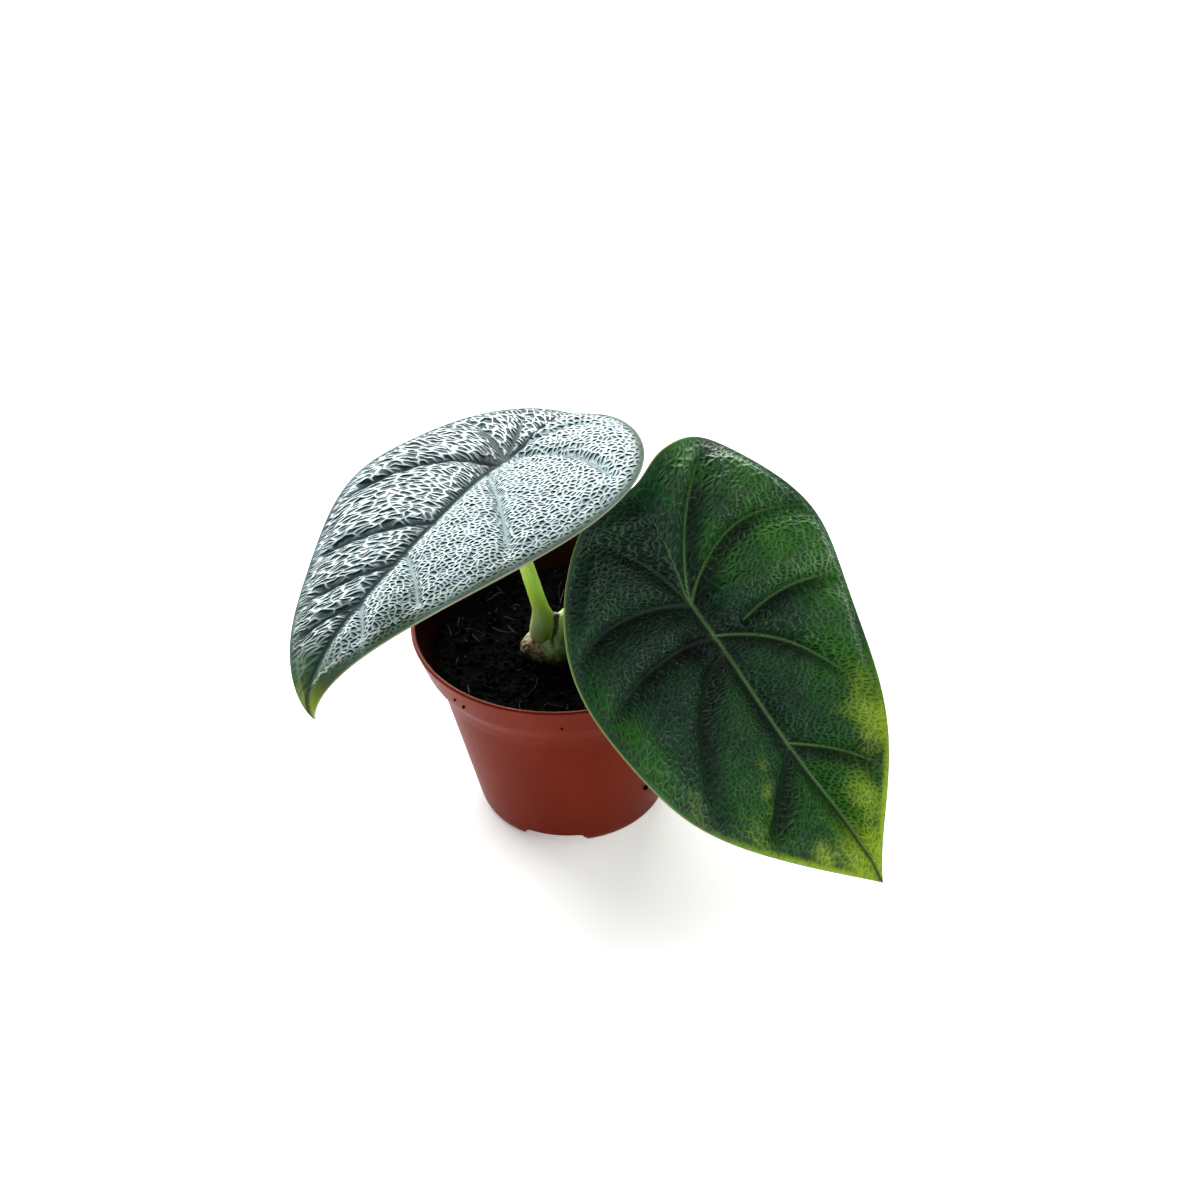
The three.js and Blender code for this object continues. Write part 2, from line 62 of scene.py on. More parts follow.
# Pot
POT_HEIGHT = 43.1
RIM_RADIUS = 30.0
COLLAR_HEIGHT = 34.6
COLLAR_RADIUS = 27.5
WALL_TOP_RADIUS = 25.7
WALL_START = 1.8           # height where the straight wall begins
BASE_RADIUS = 19.2
FOOT_RADIUS = 17.8
FOOT_WIDTH = 1.8
FOOT_HEIGHT = 2.4
FLOOR_TOP = FOOT_HEIGHT + 1
WALL = 0.8
NOTCH_ANGLES = (-103, 17, 137)
NOTCH_WIDTH = 12.3
DRAIN_HOLES = 4
DRAIN_REACH = 10           # from the pot's axis to the middle of a drain hole
DRAIN_RADIUS = 2
GAP = 0.3

# Soil and corm
SOIL_LEVEL = 36.6
LUMPS = 70
CRUMBS = 950
FIBRES = 64
# Degrees round the pot, height and size of the crumbs that stick to it
SPECKS = ((-136.9, 39.4, 0.4), (-132.7, 38.7, 0.5), (-92, 38.2, 0.35), (-46.8, 10.8, 0.75),
          (-43.5, 11.6, 0.5), (-52.4, 16, 0.3), (60, 30, 0.45), (118, 22, 0.5), (150, 12, 0.4))
CORM_BOTTOM = 29.0
CORM_TOP = 46.0
CORM_CENTRE = (-2.2, -2.9)
CORM_LEAN = 0.9            # how far the top of the corm leans to the right
CORM_PROFILE = ((0, 1.6), (0.1, 3.2), (0.25, 4.4), (0.42, 5), (0.53, 5.35), (0.62, 5.2),
                (0.71, 4.5), (0.8, 3.5), (0.88, 2.5), (0.94, 1.7), (0.98, 0.8))

# Leaves: u runs along the midrib, 0 at the stalk and positive toward the tip, v across it.
# A vein is (start u, share of the margin from back to tip where it ends, u and v of its bend), and
# where a fifth number stands, the vein branches off another one at that share of its way. Weak
# gives the strength of the first veins of a side. Turn is in radians, about Z, Y and X.
LEFT_LEAF = {
    "seed": 11,
    "weak": {-1: (0.5, 0.55), 1: (0.8,)},
    "bow": (3.3, 1.0),
    "fade": (0.7, 0.98),
    "light_side": (0.0, 0.9),
    "rib_line": (0.5, 0.4),
    "rib_groove_shade": (-0.35, 0.5),
    "vein_shadow": (1.0, 1.0),
    "bald": (50, 63),
    "quilt": 0.8,
    "groove": (0.75, 0.85),
    "trough": (2, -3, 4, 2, 0.2),
    "valley": 2.0,
    "stalk_top": (-8.93, -6.36, 85.05),
    "turn": (-2.219, -0.065, 0.24),
    "front": 69.65,
    "back": 23.33,
    "outline": (0.515, 1.119),
    "droop": (0.381, 0.153, 1.694),
    "rise": (-0.046, 0.244),
    "sinus": 1.4,
    "dimple": 0.84,
    "sides": {
        1: {
            "cell": 1.18, "stretch": 0.78, "groove_shade": 0.45, "width": 28.87,
            "fold": (-0.003, -0.358), "arch": (0.317, -0.563), "wave": (0.321, -0.296),
            "veins": [(0, 0.03, -16, 0.5), (0, 0.26, -9, 12), (6, 0.57, 15, 12),
                      (33, 0.75, 39, 11), (46, 0.85, 50, 6)],
        },
        -1: {
            "cell": 0.96, "stretch": 3.4, "groove_shade": 0.7, "width": 29.14,
            "fold": (-0.001, -0.291), "arch": (0.094, 0.377), "wave": (-1.628, 0.863),
            "veins": [(0, 0.025, -12, -4), (0, 0.1, -9, -10), (2, 0.48, 1, -20),
                      (24, 0.63, 26, -13), (36, 0.76, 41, -9), (46, 0.86, 50, -5)],
        },
    },
}
RIGHT_LEAF = {
    "seed": 47,
    "weak": {-1: (0.8,), 1: ()},
    "bow": (2.0, 3.7),
    "fade": (0.55, 0.95),
    "light_side": (-0.6, 0.3),
    "rib_line": (0.1, 0.27),
    "rib_groove_shade": (-0.3, 0.6),
    "vein_shadow": (1.5, 1.3),
    "bald": (62, 70),
    "quilt": 2.1,
    "groove": (0.9, 1.0),
    "trough": (7.5, -4.8, 6, 3, 1.3),
    "valley": 3.0,
    "stalk_top": (25.23, -19.47, 58.57),
    "turn": (-0.5, 0.996, 0.324),
    "front": 67.01,
    "back": 29.71,
    "outline": (0.52, 1.074),
    "droop": (-0.042, -0.034, -0.256),
    "rise": (-0.243, 0.05),
    "sinus": 3.24,
    "dimple": 1.19,
    "sides": {
        1: {
            "cell": 0.92, "stretch": 1.6, "groove_shade": 0.42, "width": 35.66,
            "fold": (0.24, 0.111), "arch": (0.705, -1.597), "wave": (3.924, -0.849),
            "veins": [(0, 0.075, -20, 5), (0, 0.32, -15, 13), (9.5, 0.48, 4.5, 17, 0.2),
                      (7, 0.71, 17.5, 18), (33, 0.82, 41.5, 11)],
        },
        -1: {
            "cell": 0.92, "stretch": 1.5, "groove_shade": 0.75, "width": 35.98,
            "fold": (-0.046, 0.075), "arch": (-0.453, 0.697), "wave": (-2.03, 0.147),
            "veins": [(0, 0.03, -14, -3), (0, 0.22, -12, -16), (7.5, 0.34, 1, -13),
                      (11, 0.7, 14, -19), (34, 0.79, 41.5, -10)],
        },
    },
}
BLADE_HALF = 0.42          # half thickness of the blade
EDGE_ROUND = 0.45          # width over which the margin is rounded
COLLECTIVE_VEIN = 2.5      # distance of the collective vein from the margin
COARSE_CELL = 4.4          # swellings between the small veins
NET_HEIGHT = 0.13
BLADE_ROWS = 344
BLADE_COLUMNS = 106        # on each side of the midrib
LOWER_STEP = 2             # the lower face has one row and column for this many of the upper

STALK_BASE = 1.75          # radius above the swollen foot
LEFT_STALK = [(-3.4, -2.9, 41.5), (-4.2, -3, 47.5), (-5.3, -3, 53), (-6.6, -3.4, 60),
              (-8.2, -5, 72)]
RIGHT_STALK = [(-0.6, -2.8, 41.5), (2.4, -2.9, 47), (6.5, -4.6, 50.5), (13, -9, 54.5),
               (19.5, -14.4, 56.8)]


# Numbers

def smooth(a, b, x):
    t = np.clip((x - a) / (b - a), 0, 1)
    return t * t * (3 - 2 * t)


def bell(x):
    return np.exp(-np.square(x))


def mix(a, b, t):
    return a + (b - a) * t


def bezier(first, bend, last, t):
    first, bend, last = (np.asarray(point, float) for point in (first, bend, last))
    return (1 - t) ** 2 * first + 2 * (1 - t) * t * bend + t * t * last


def round_angles(count):
    return np.linspace(0, 2 * np.pi, count, endpoint=False)


def ring(radius, angles, z, centre=(0, 0)):
    """Points of a level ring. Radius and height may differ from angle to angle."""
    x, y = centre[0] + radius * np.cos(angles), centre[1] + radius * np.sin(angles)
    return np.stack([x, y, np.broadcast_to(z, x.shape)], 1)


def lattice(ix, iy, seed):
    """Random numbers from 0 to 1 that depend on a whole-number place and a seed."""
    a = (ix.astype(np.int64) * 374761393 + iy.astype(np.int64) * 668265263 + seed * 982451653)
    a = (a ^ (a >> 13)) & 0xFFFFFFFF
    a = (a * 1274126177) & 0xFFFFFFFF
    a = (a ^ (a >> 16)) & 0xFFFFFF
    return a / float(0xFFFFFF)


def blend_corners(corner, ix, iy, fx, fy):
    """Value between four grid corners, each read by its whole-number place."""
    low = mix(corner(ix, iy), corner(ix + 1, iy), fx)
    high = mix(corner(ix, iy + 1), corner(ix + 1, iy + 1), fx)
    return mix(low, high, fy)


def noise(x, y, seed):
    """Smooth value noise from -1 to 1, one cell per unit."""
    ix, iy = np.floor(x), np.floor(y)
    fx, fy = smooth(0, 1, x - ix), smooth(0, 1, y - iy)
    return 2 * blend_corners(lambda cx, cy: lattice(cx, cy, seed), ix, iy, fx, fy) - 1


def layered(x, y, seed, layers=3):
    total = np.zeros_like(x)
    for i in range(layers):
        total = total + noise(x * 2 ** i + 17 * i, y * 2 ** i - 9 * i, seed + i) / 2 ** i
    return total / 1.6


def cells(x, y, seed, jitter=0.85):
    """Distance to the nearest cell border, to the cell's seed, and the cell's own random number."""
    ix, iy = np.floor(x), np.floor(y)
    points = []
    for dx in range(-2, 3):
        for dy in range(-2, 3):
            cx, cy = ix + dx, iy + dy
            px = cx + 0.5 + jitter * (lattice(cx, cy, seed) - 0.5)
            py = cy + 0.5 + jitter * (lattice(cx, cy, seed + 7) - 0.5)
            points.append((px - x, py - y, lattice(cx, cy, seed + 13)))
    px, py, own = (np.array(values) for values in zip(*points))
    far = px * px + py * py
    best = far.argmin(0)
    column = np.arange(x.size)
    nx, ny = px[best, column], py[best, column]
    along_x, along_y = px - nx, py - ny
    size = np.hypot(along_x, along_y)
    size[size < 1e-6] = 1e6
    border = (0.5 * (px + nx) * along_x + 0.5 * (py + ny) * along_y) / size
    border[best, column] = 1e6
    return border.min(0), np.sqrt(far[best, column]), own[best, column]


def potential(slope_x, slope_y, step):
    """The sheet of heights whose slopes come closest to the given ones."""
    rise_x = 0.5 * (slope_x[1:] + slope_x[:-1]) * step
    rise_y = 0.5 * (slope_y[:, 1:] + slope_y[:, :-1]) * step
    pull = np.zeros_like(slope_x)
    pull[1:] += rise_x
    pull[:-1] -= rise_x
    pull[:, 1:] += rise_y
    pull[:, :-1] -= rise_y
    mirrored = np.block([[pull, pull[:, ::-1]], [pull[::-1], pull[::-1, ::-1]]])
    rows, columns = mirrored.shape
    stiff = (4 - 2 * np.cos(2 * np.pi * np.arange(rows) / rows)[:, None]
             - 2 * np.cos(2 * np.pi * np.arange(columns) / columns)[None])
    stiff[0, 0] = 1
    spectrum = np.fft.fft2(mirrored) / stiff
    spectrum[0, 0] = 0
    return np.fft.ifft2(spectrum).real[:slope_x.shape[0], :slope_x.shape[1]]


def sampled(values, x, y):
    """Values of a grid at places between its points, counted in grid steps."""
    x = np.clip(x, 0, values.shape[0] - 1.001)
    y = np.clip(y, 0, values.shape[1] - 1.001)
    ix, iy = x.astype(int), y.astype(int)
    return blend_corners(lambda cx, cy: values[cx, cy], ix, iy, x - ix, y - iy)


def line_distance(u, v, line):
    """Distance from each point to a line of points, the share along it of the nearest place, and
    the side of the line: 1 or -1."""
    nearest = np.full(u.shape, 1e6)
    share, side = np.zeros(u.shape), np.ones(u.shape)
    count = len(line) - 1
    for i in range(count):
        (ax, ay), (bx, by) = line[i], line[i + 1]
        dx, dy = bx - ax, by - ay
        t = np.clip(((u - ax) * dx + (v - ay) * dy) / max(dx * dx + dy * dy, 1e-9), 0, 1)
        d = np.hypot(u - ax - t * dx, v - ay - t * dy)
        closer = d < nearest
        nearest = np.where(closer, d, nearest)
        share = np.where(closer, (i + t) / count, share)
        side = np.where(closer, np.sign(dx * (v - ay) - dy * (u - ax)), side)
    return nearest, share, side


class Random:
    """Seeded random numbers from 0 to 1, the same as in the solid model."""

    def __init__(self, seed):
        self.state = seed

    def __call__(self):
        self.state = (self.state * 1664525 + 1013904223) % 4294967296
        return self.state / 4294967296

    def place(self, reach):
        """A place in a disc around the pot's axis."""
        angle, far = 2 * math.pi * self(), reach * math.sqrt(self())
        return far * math.cos(angle), far * math.sin(angle)


# Meshes

def add_object(name, data):
    item = bpy.data.objects.new(name, data)
    bpy.context.scene.collection.objects.link(item)
    return item


def add_mesh(name, points, faces, materials=(), smooth_faces=True):
    """A mesh object from points in millimetres around the pot's axis."""
    mesh = bpy.data.meshes.new(name)
    mesh.from_pydata((np.asarray(points, float) * MM + AXIS).tolist(), [], faces)
    mesh.validate()
    mesh.polygons.foreach_set("use_smooth", [smooth_faces] * len(mesh.polygons))
    for material in materials:
        mesh.materials.append(material)
    mesh.update()
    return add_object(name, mesh)


def declare(piece, slot, *nodes):
    """Ties a piece to the body and hides the nodes that it stands for. The slot is not used."""
    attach(piece, "root")
    if nodes:
        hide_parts(*nodes)
    return piece


def add_attribute(piece, name, values):
    layer = piece.data.attributes.new(name, "FLOAT", "POINT")
    layer.data.foreach_set("value", np.asarray(values, np.float32))


def add_vector_attribute(piece, name, values):
    layer = piece.data.attributes.new(name, "FLOAT_VECTOR", "POINT")
    layer.data.foreach_set("vector", np.asarray(values, np.float32).ravel())


def ring_body(bottom, rings, top):
    """Points and faces of a stack of rings that one point closes at each end."""
    count = len(rings[0])
    points = np.vstack([[bottom], *rings, [top]])
    faces = []
    for k in range(count):
        n = (k + 1) % count
        faces.append((0, 1 + n, 1 + k))
        for r in range(len(rings) - 1):
            a, b = 1 + r * count, 1 + (r + 1) * count
            faces.append((a + k, a + n, b + n, b + k))
        last = 1 + (len(rings) - 1) * count
        faces.append((len(points) - 1, last + k, last + n))
    return points, faces


def spline(path, count):
    """Evenly spaced points on a smooth curve through the path."""
    path = np.asarray(path, float)
    ends = np.vstack([2 * path[0] - path[1], path, 2 * path[-1] - path[-2]])
    fine = []
    for i in range(1, len(ends) - 2):
        p0, p1, p2, p3 = ends[i - 1:i + 3]
        for t in np.linspace(0, 1, 40, endpoint=False):
            fine.append(0.5 * (2 * p1 + (p2 - p0) * t + (2 * p0 - 5 * p1 + 4 * p2 - p3) * t * t
                               + (3 * p1 - p0 - 3 * p2 + p3) * t ** 3))
    fine = np.array([*fine, path[-1]])
    reach = np.concatenate([[0], np.cumsum(np.linalg.norm(np.diff(fine, axis=0), axis=1))])
    even = np.linspace(0, reach[-1], count)
    return np.stack([np.interp(even, reach, fine[:, i]) for i in range(3)], 1)


def tube_rings(points, radius_at, segments, side_hint=(0, 1, 0)):
    """Rings around a line of points. radius_at(share, angles) gives the radius all round."""
    rings = []
    angles = round_angles(segments)
    across = np.array(side_hint, float)
    for i, point in enumerate(points):
        ahead = points[min(i + 1, len(points) - 1)] - points[max(i - 1, 0)]
        ahead = ahead / np.linalg.norm(ahead)
        across = across - ahead * across.dot(ahead)
        across = across / np.linalg.norm(across)
        over = np.cross(ahead, across)
        radius = radius_at(i / (len(points) - 1), angles)
        rings.append(point + np.outer(radius * np.cos(angles), across)
                     + np.outer(radius * np.sin(angles), over))
    return rings


# Shader nodes

def linear(colour):
    """A screen colour of 0 to 255 as the linear colour that Blender uses. Others stay."""
    if not isinstance(colour, tuple) or len(colour) != 3:
        return colour
    shares = [channel / 255 for channel in colour]
    return (*[c / 12.92 if c <= 0.04045 else ((c + 0.055) / 1.055) ** 2.4 for c in shares], 1.0)


class Value:
    """A node's output. Sums, differences and products of values add the nodes that they need."""

    def __init__(self, shader, socket):
        self.shader = shader
        self.socket = socket

    def __add__(self, other):
        return self.shader.math("ADD", self, other)

    def __sub__(self, other):
        return self.shader.math("SUBTRACT", self, other)

    def __mul__(self, other):
        return self.shader.math("MULTIPLY", self, other)

    def band(self, low, high, to_low=0.0, to_high=1.0):
        """A smooth step between two values of this one."""
        return self.shader.add("ShaderNodeMapRange", "Result", {"interpolation_type": "SMOOTHSTEP"}, {
            "Value": self, "From Min": low, "From Max": high, "To Min": to_low, "To Max": to_high})


class Shader:
    """A material's node tree with short calls for the nodes used here."""

    def __init__(self, name):
        self.material = bpy.data.materials.new(name)
        self.material.use_nodes = True
        self.tree = self.material.node_tree
        self.tree.nodes.clear()
        output = self.tree.nodes.new("ShaderNodeOutputMaterial")
        self.surface = self.tree.nodes.new("ShaderNodeBsdfPrincipled")
        self.tree.links.new(self.surface.outputs["BSDF"], output.inputs["Surface"])
        self.colour = None

    def put(self, value, socket):
        if isinstance(value, Value):
            self.tree.links.new(value.socket, socket)
        else:
            socket.default_value = value

    def add(self, kind, output, settings, inputs):
        """A node with its settings and inputs, as the value of one of its outputs."""
        node = self.tree.nodes.new(kind)
        for name, setting in settings.items():
            setattr(node, name, setting)
        for key, value in inputs.items():
            self.put(value, node.inputs[key])
        return Value(self, node.outputs[output])

    def attribute(self, name, vector=False):
        output = "Vector" if vector else "Fac"
        return self.add("ShaderNodeAttribute", output, {"attribute_name": name}, {})

    def place(self):
        return self.add("ShaderNodeTexCoord", "Object", {}, {})

    def noise(self, vector, scale, detail=3.0, rough=0.5):
        return self.add("ShaderNodeTexNoise", "Fac", {}, {
            "Vector": vector, "Scale": scale, "Detail": detail, "Roughness": rough})

    def spots(self, vector, scale):
        """Distance to the nearest of many scattered points."""
        return self.add("ShaderNodeTexVoronoi", "Distance", {}, {"Vector": vector, "Scale": scale})

    def borders(self, cell):
        """Distance to the lines of the leaf's net."""
        return self.add("ShaderNodeTexVoronoi", "Distance",
                        {"voronoi_dimensions": "2D", "feature": "DISTANCE_TO_EDGE"},
                        {"Vector": cell, "Scale": 1.0})

    def scaled(self, vector, factors):
        return self.add("ShaderNodeMapping", "Vector", {}, {"Vector": vector, "Scale": factors})

    def math(self, operation, a, b, clamp=False):
        settings = {"operation": operation, "use_clamp": clamp}
        return self.add("ShaderNodeMath", "Value", settings, {0: a, 1: b})

    def vector(self, operation, a, b=(0, 0, 0), scale=1.0, output="Vector"):
        return self.add("ShaderNodeVectorMath", output, {"operation": operation}, {0: a, 1: b, 3: scale})

    def part(self, vector, axis):
        return self.add("ShaderNodeSeparateXYZ", axis, {}, {0: vector})

    def blend(self, amount, low, high):
        inputs = {0: amount, 6: linear(low), 7: linear(high)}
        return self.add("ShaderNodeMix", 2, {"data_type": "RGBA"}, inputs)

    def coat(self, amount, colour):
        """Lays a colour over what the surface has so far."""
        self.colour = self.blend(amount, self.colour, colour)

    def relief(self, cell, height_at, amount):
        """Normal of a fine relief over the cells, exact at any distance, and how far it leans from
        the smooth surface. Amount is in millimetres."""
        step = 0.03
        here = height_at(cell)
        leans = []
        for name, shift in (("slope_a", (step, 0, 0)), ("slope_b", (0, step, 0))):
            rise = here - height_at(self.vector("ADD", cell, shift))
            leans.append(self.vector("SCALE", self.attribute(name, vector=True),
                                     scale=rise * (amount / step)))
        lean = self.vector("ADD", *leans)
        smooth_normal = self.add("ShaderNodeNewGeometry", "Normal", {}, {})
        return self.vector("NORMALIZE", self.vector("ADD", smooth_normal, lean)), lean

    def bump(self, height, strength, distance, normal=None):
        inputs = {"Height": height, "Strength": strength, "Distance": distance}
        if normal is not None:
            inputs["Normal"] = normal
        return self.add("ShaderNodeBump", "Normal", {}, inputs)

    def finished(self, **inputs):
        """The material, with the painted colour and these inputs of its surface."""
        for name, value in {"base_color": self.colour, **inputs}.items():
            title = name.replace("_", " ").title().replace("Ior", "IOR")
            self.put(value, self.surface.inputs[title])
        return self.material


# Leaf blades

def length_of(leaf):
    return leaf["front"] + leaf["back"]


def by_side(leaf, name, across, index=None):
    """A value of the leaf's two sides at each place, by the side of the midrib that it is on."""
    one, other = (leaf["sides"][side][name] for side in (1, -1))
    if index is not None:
        one, other = one[index], other[index]
    return np.where(across >= 0, one, other)


def half_width(leaf, s):
    a, b = leaf["outline"]
    widest = a / (a + b)
    s = np.clip(s, 0, 1)
    return (s / widest) ** a * ((1 - s) / (1 - widest)) ** b


def share_to_u(leaf, s, v):
    """Place along the midrib for a share of the leaf's length. The back is notched at the stalk."""
    notch = leaf["sinus"] * bell(v / 6) * np.clip(1 - s / 0.4, 0, 1)
    return -leaf["back"] + s * length_of(leaf) + notch


def margin_point(leaf, side, s):
    v = side * leaf["sides"][side]["width"] * half_width(leaf, s)
    return share_to_u(leaf, s, v), v


def margin_line(leaf):
    s = 0.5 - 0.5 * np.cos(np.linspace(0, np.pi, 140))
    one, other = (np.stack(margin_point(leaf, side, s), 1) for side in (1, -1))
    return np.vstack([one, other[::-1]])


def spine(leaf, u):
    """Place of the midrib across the leaf: it bows off the middle line."""
    amount, late = leaf["bow"]
    return amount * np.sin(np.pi * np.clip(u / leaf["front"], 0, 1) ** late)


def off_spine(leaf, u, v):
    """Distance across the leaf from the bowed midrib, and the shift that it brings."""
    share = (u + leaf["back"]) / length_of(leaf)
    wide = np.maximum(by_side(leaf, "width", v) * half_width(leaf, share), 1e-3)
    shift = spine(leaf, u) * np.clip(1 - (v / wide) ** 2, 0, 1)
    return v - shift, shift


def midrib_slope(leaf, u):
    x = np.maximum(u, 0) / leaf["front"]
    y = np.maximum(-u, 0) / leaf["back"]
    d1, d3, hook = leaf["droop"]
    return leaf["rise"][0] * y + leaf["rise"][1] * y * y - d1 * x - d3 * x ** 3 - hook * x ** 10


def midrib_line(leaf, u):
    """Distance, height and slope of the midrib at each u."""
    step = 0.5
    first = -math.ceil(leaf["back"] / step) - 4
    last = math.ceil(leaf["front"] / step) + 4
    places = np.arange(first, last + 1) * step
    middle = midrib_slope(leaf, places + step / 2)
    x, z = (np.concatenate([[0], np.cumsum(part * step)])[:-1]
            for part in (np.cos(middle), np.sin(middle)))
    x, z = x - x[-first], z - z[-first]
    return np.interp(u, places, x), np.interp(u, places, z), midrib_slope(leaf, u)


def blade_place(leaf, u, v):
    """Middle surface of the blade: flat places to points of the plant."""
    s = (u + leaf["back"]) / length_of(leaf)
    to_tip = s - leaf["back"] / length_of(leaf)
    off, shift = off_spine(leaf, u, v)
    far = np.abs(off)
    fold = by_side(leaf, "fold", off, 0) + by_side(leaf, "fold", off, 1) * to_tip
    curl = (by_side(leaf, "arch", off, 0) + by_side(leaf, "arch", off, 1) * to_tip) / 30
    curl = np.where(np.abs(curl) < 1e-6, 1e-6, curl)
    across = (np.sin(fold) - np.sin(fold - curl * far)) / curl
    lift = (np.cos(fold - curl * far) - np.cos(fold)) / curl
    wave = np.sin(3 * np.pi * s + by_side(leaf, "wave", off, 1))
    lift = lift + by_side(leaf, "wave", off, 0) * wave * (far / 30) ** 2
    lift = lift - leaf["dimple"] * np.exp(-(u * u + v * v) / 49)
    x, z, slope = midrib_line(leaf, u)
    flat = np.stack([x - lift * np.sin(slope), shift + np.where(off >= 0, across, -across),
                     z + lift * np.cos(slope)], 1)
    turn_z, turn_y, turn_x = leaf["turn"]
    turn = (Matrix.Rotation(turn_z, 3, "Z") @ Matrix.Rotation(turn_y, 3, "Y")
            @ Matrix.Rotation(turn_x, 3, "X"))
    return flat @ np.array(turn).T + np.array(leaf["stalk_top"])


def blade_normal(leaf, u, v):
    side = np.where(off_spine(leaf, u, v)[0] >= 0, 1.0, -1.0)
    along = blade_place(leaf, u + 0.2, v) - blade_place(leaf, u - 0.2, v)
    over = (blade_place(leaf, u, v + 0.2 * side) - blade_place(leaf, u, v)) * side[:, None]
    normal = np.cross(along, over)
    return normal / np.linalg.norm(normal, axis=1)[:, None]


def vein_lines(leaf):
    """Points of each side vein from the midrib outward, with the vein's strength."""
    found = []
    for side in (1, -1):
        weak = leaf["weak"][side]
        for i, (start, end, bend_u, bend_v, *branch) in enumerate(leaf["sides"][side]["veins"]):
            t = np.linspace(branch[0] if branch else 0, 1, 25)[:, None]
            line = bezier((start, spine(leaf, start)), (bend_u, bend_v),
                          margin_point(leaf, side, end), t)
            found.append((line, weak[i] if i < len(weak) else 1.0))
    return found


def vein_direction(leaf, u, v):
    """Direction of the side veins around each place, from the midrib outward."""
    total = np.zeros((2, u.size))
    place_side = np.sign(v - spine(leaf, u) + 1e-9)
    for line, _ in vein_lines(leaf):
        middle = 0.5 * (line[:-1] + line[1:])
        ahead = np.diff(line, axis=0)
        ahead = ahead / np.linalg.norm(ahead, axis=1)[:, None]
        far = (u[:, None] - middle[:, 0]) ** 2 + (v[:, None] - middle[:, 1]) ** 2
        best = far.argmin(1)
        same_side = np.where(place_side == np.sign(line[-1, 1]), 1.0, 0.02)
        total += same_side / (far[np.arange(u.size), best] + 2) * ahead[best].T
    return total / np.maximum(np.hypot(*total), 1e-6)


def net_places(leaf, u, v):
    """Places along the side veins and across them, smooth over each side: in cells and in mm."""
    step = 0.5
    along, across = np.zeros(u.shape), np.zeros(u.shape)
    cell = np.zeros((u.size, 3))
    off = off_spine(leaf, u, v)[0]
    warp_x = 0.3 * layered(u / 1.6, v / 1.6, leaf["seed"], 2)
    warp_y = 0.28 * layered(u / 1.6, v / 1.6, leaf["seed"] + 20, 2)
    for side in (1, -1):
        form = leaf["sides"][side]
        columns = np.arange(0, form["width"] + 3 + leaf["bow"][0], step)
        rows = np.arange(-leaf["back"] - 3, leaf["front"] + 3, step)
        grid_u, grid_v = np.meshgrid(rows, columns, indexing="ij")
        middle = spine(leaf, grid_u.ravel())
        direction = vein_direction(leaf, grid_u.ravel(), middle + side * (grid_v.ravel() + 0.01))
        ahead = direction[0].reshape(grid_u.shape)
        outward = side * direction[1].reshape(grid_u.shape)
        here = off >= 0 if side == 1 else off < 0
        x, y = (u[here] - rows[0]) / step, np.abs(off[here]) / step
        along[here] = sampled(potential(ahead, outward, step), x, y)
        across[here] = sampled(potential(outward, -ahead, step), x, y)
        cell[here, 0] = (along[here] / form["stretch"] + warp_x[here]) / form["cell"] + 60 * side
        cell[here, 1] = (across[here] + warp_y[here]) / form["cell"]
    return cell, along, across


def net_distance(cell):
    """Distance to the lines of the net, by the same texture that draws them in the material."""
    group = bpy.data.node_groups.new("net_probe", "GeometryNodeTree")
    group.interface.new_socket("Geometry", in_out="INPUT", socket_type="NodeSocketGeometry")
    group.interface.new_socket("Geometry", in_out="OUTPUT", socket_type="NodeSocketGeometry")
    start, end = group.nodes.new("NodeGroupInput"), group.nodes.new("NodeGroupOutput")
    read = group.nodes.new("GeometryNodeInputNamedAttribute")
    read.data_type = "FLOAT_VECTOR"
    read.inputs["Name"].default_value = "cell"
    texture = group.nodes.new("ShaderNodeTexVoronoi")
    texture.voronoi_dimensions = "2D"
    texture.feature = "DISTANCE_TO_EDGE"
    texture.inputs["Scale"].default_value = 1.0
    store = group.nodes.new("GeometryNodeStoreNamedAttribute")
    store.data_type = "FLOAT"
    store.inputs["Name"].default_value = "edge"
    group.links.new(start.outputs[0], store.inputs["Geometry"])
    group.links.new(read.outputs["Attribute"], texture.inputs["Vector"])
    group.links.new(texture.outputs["Distance"], store.inputs["Value"])
    group.links.new(store.outputs["Geometry"], end.inputs[0])

    mesh = bpy.data.meshes.new("net_probe")
    mesh.vertices.add(len(cell))
    probe = add_object("net_probe", mesh)
    add_vector_attribute(probe, "cell", cell)
    probe.modifiers.new("net", "NODES").node_group = group
    graph = bpy.context.evaluated_depsgraph_get()
    found = probe.evaluated_get(graph).data.attributes["edge"]
    distance = np.zeros(len(cell), np.float32)
    found.data.foreach_get("value", distance)
    bpy.data.objects.remove(probe)
    bpy.data.meshes.remove(mesh)
    bpy.data.node_groups.remove(group)
    return distance.astype(float)


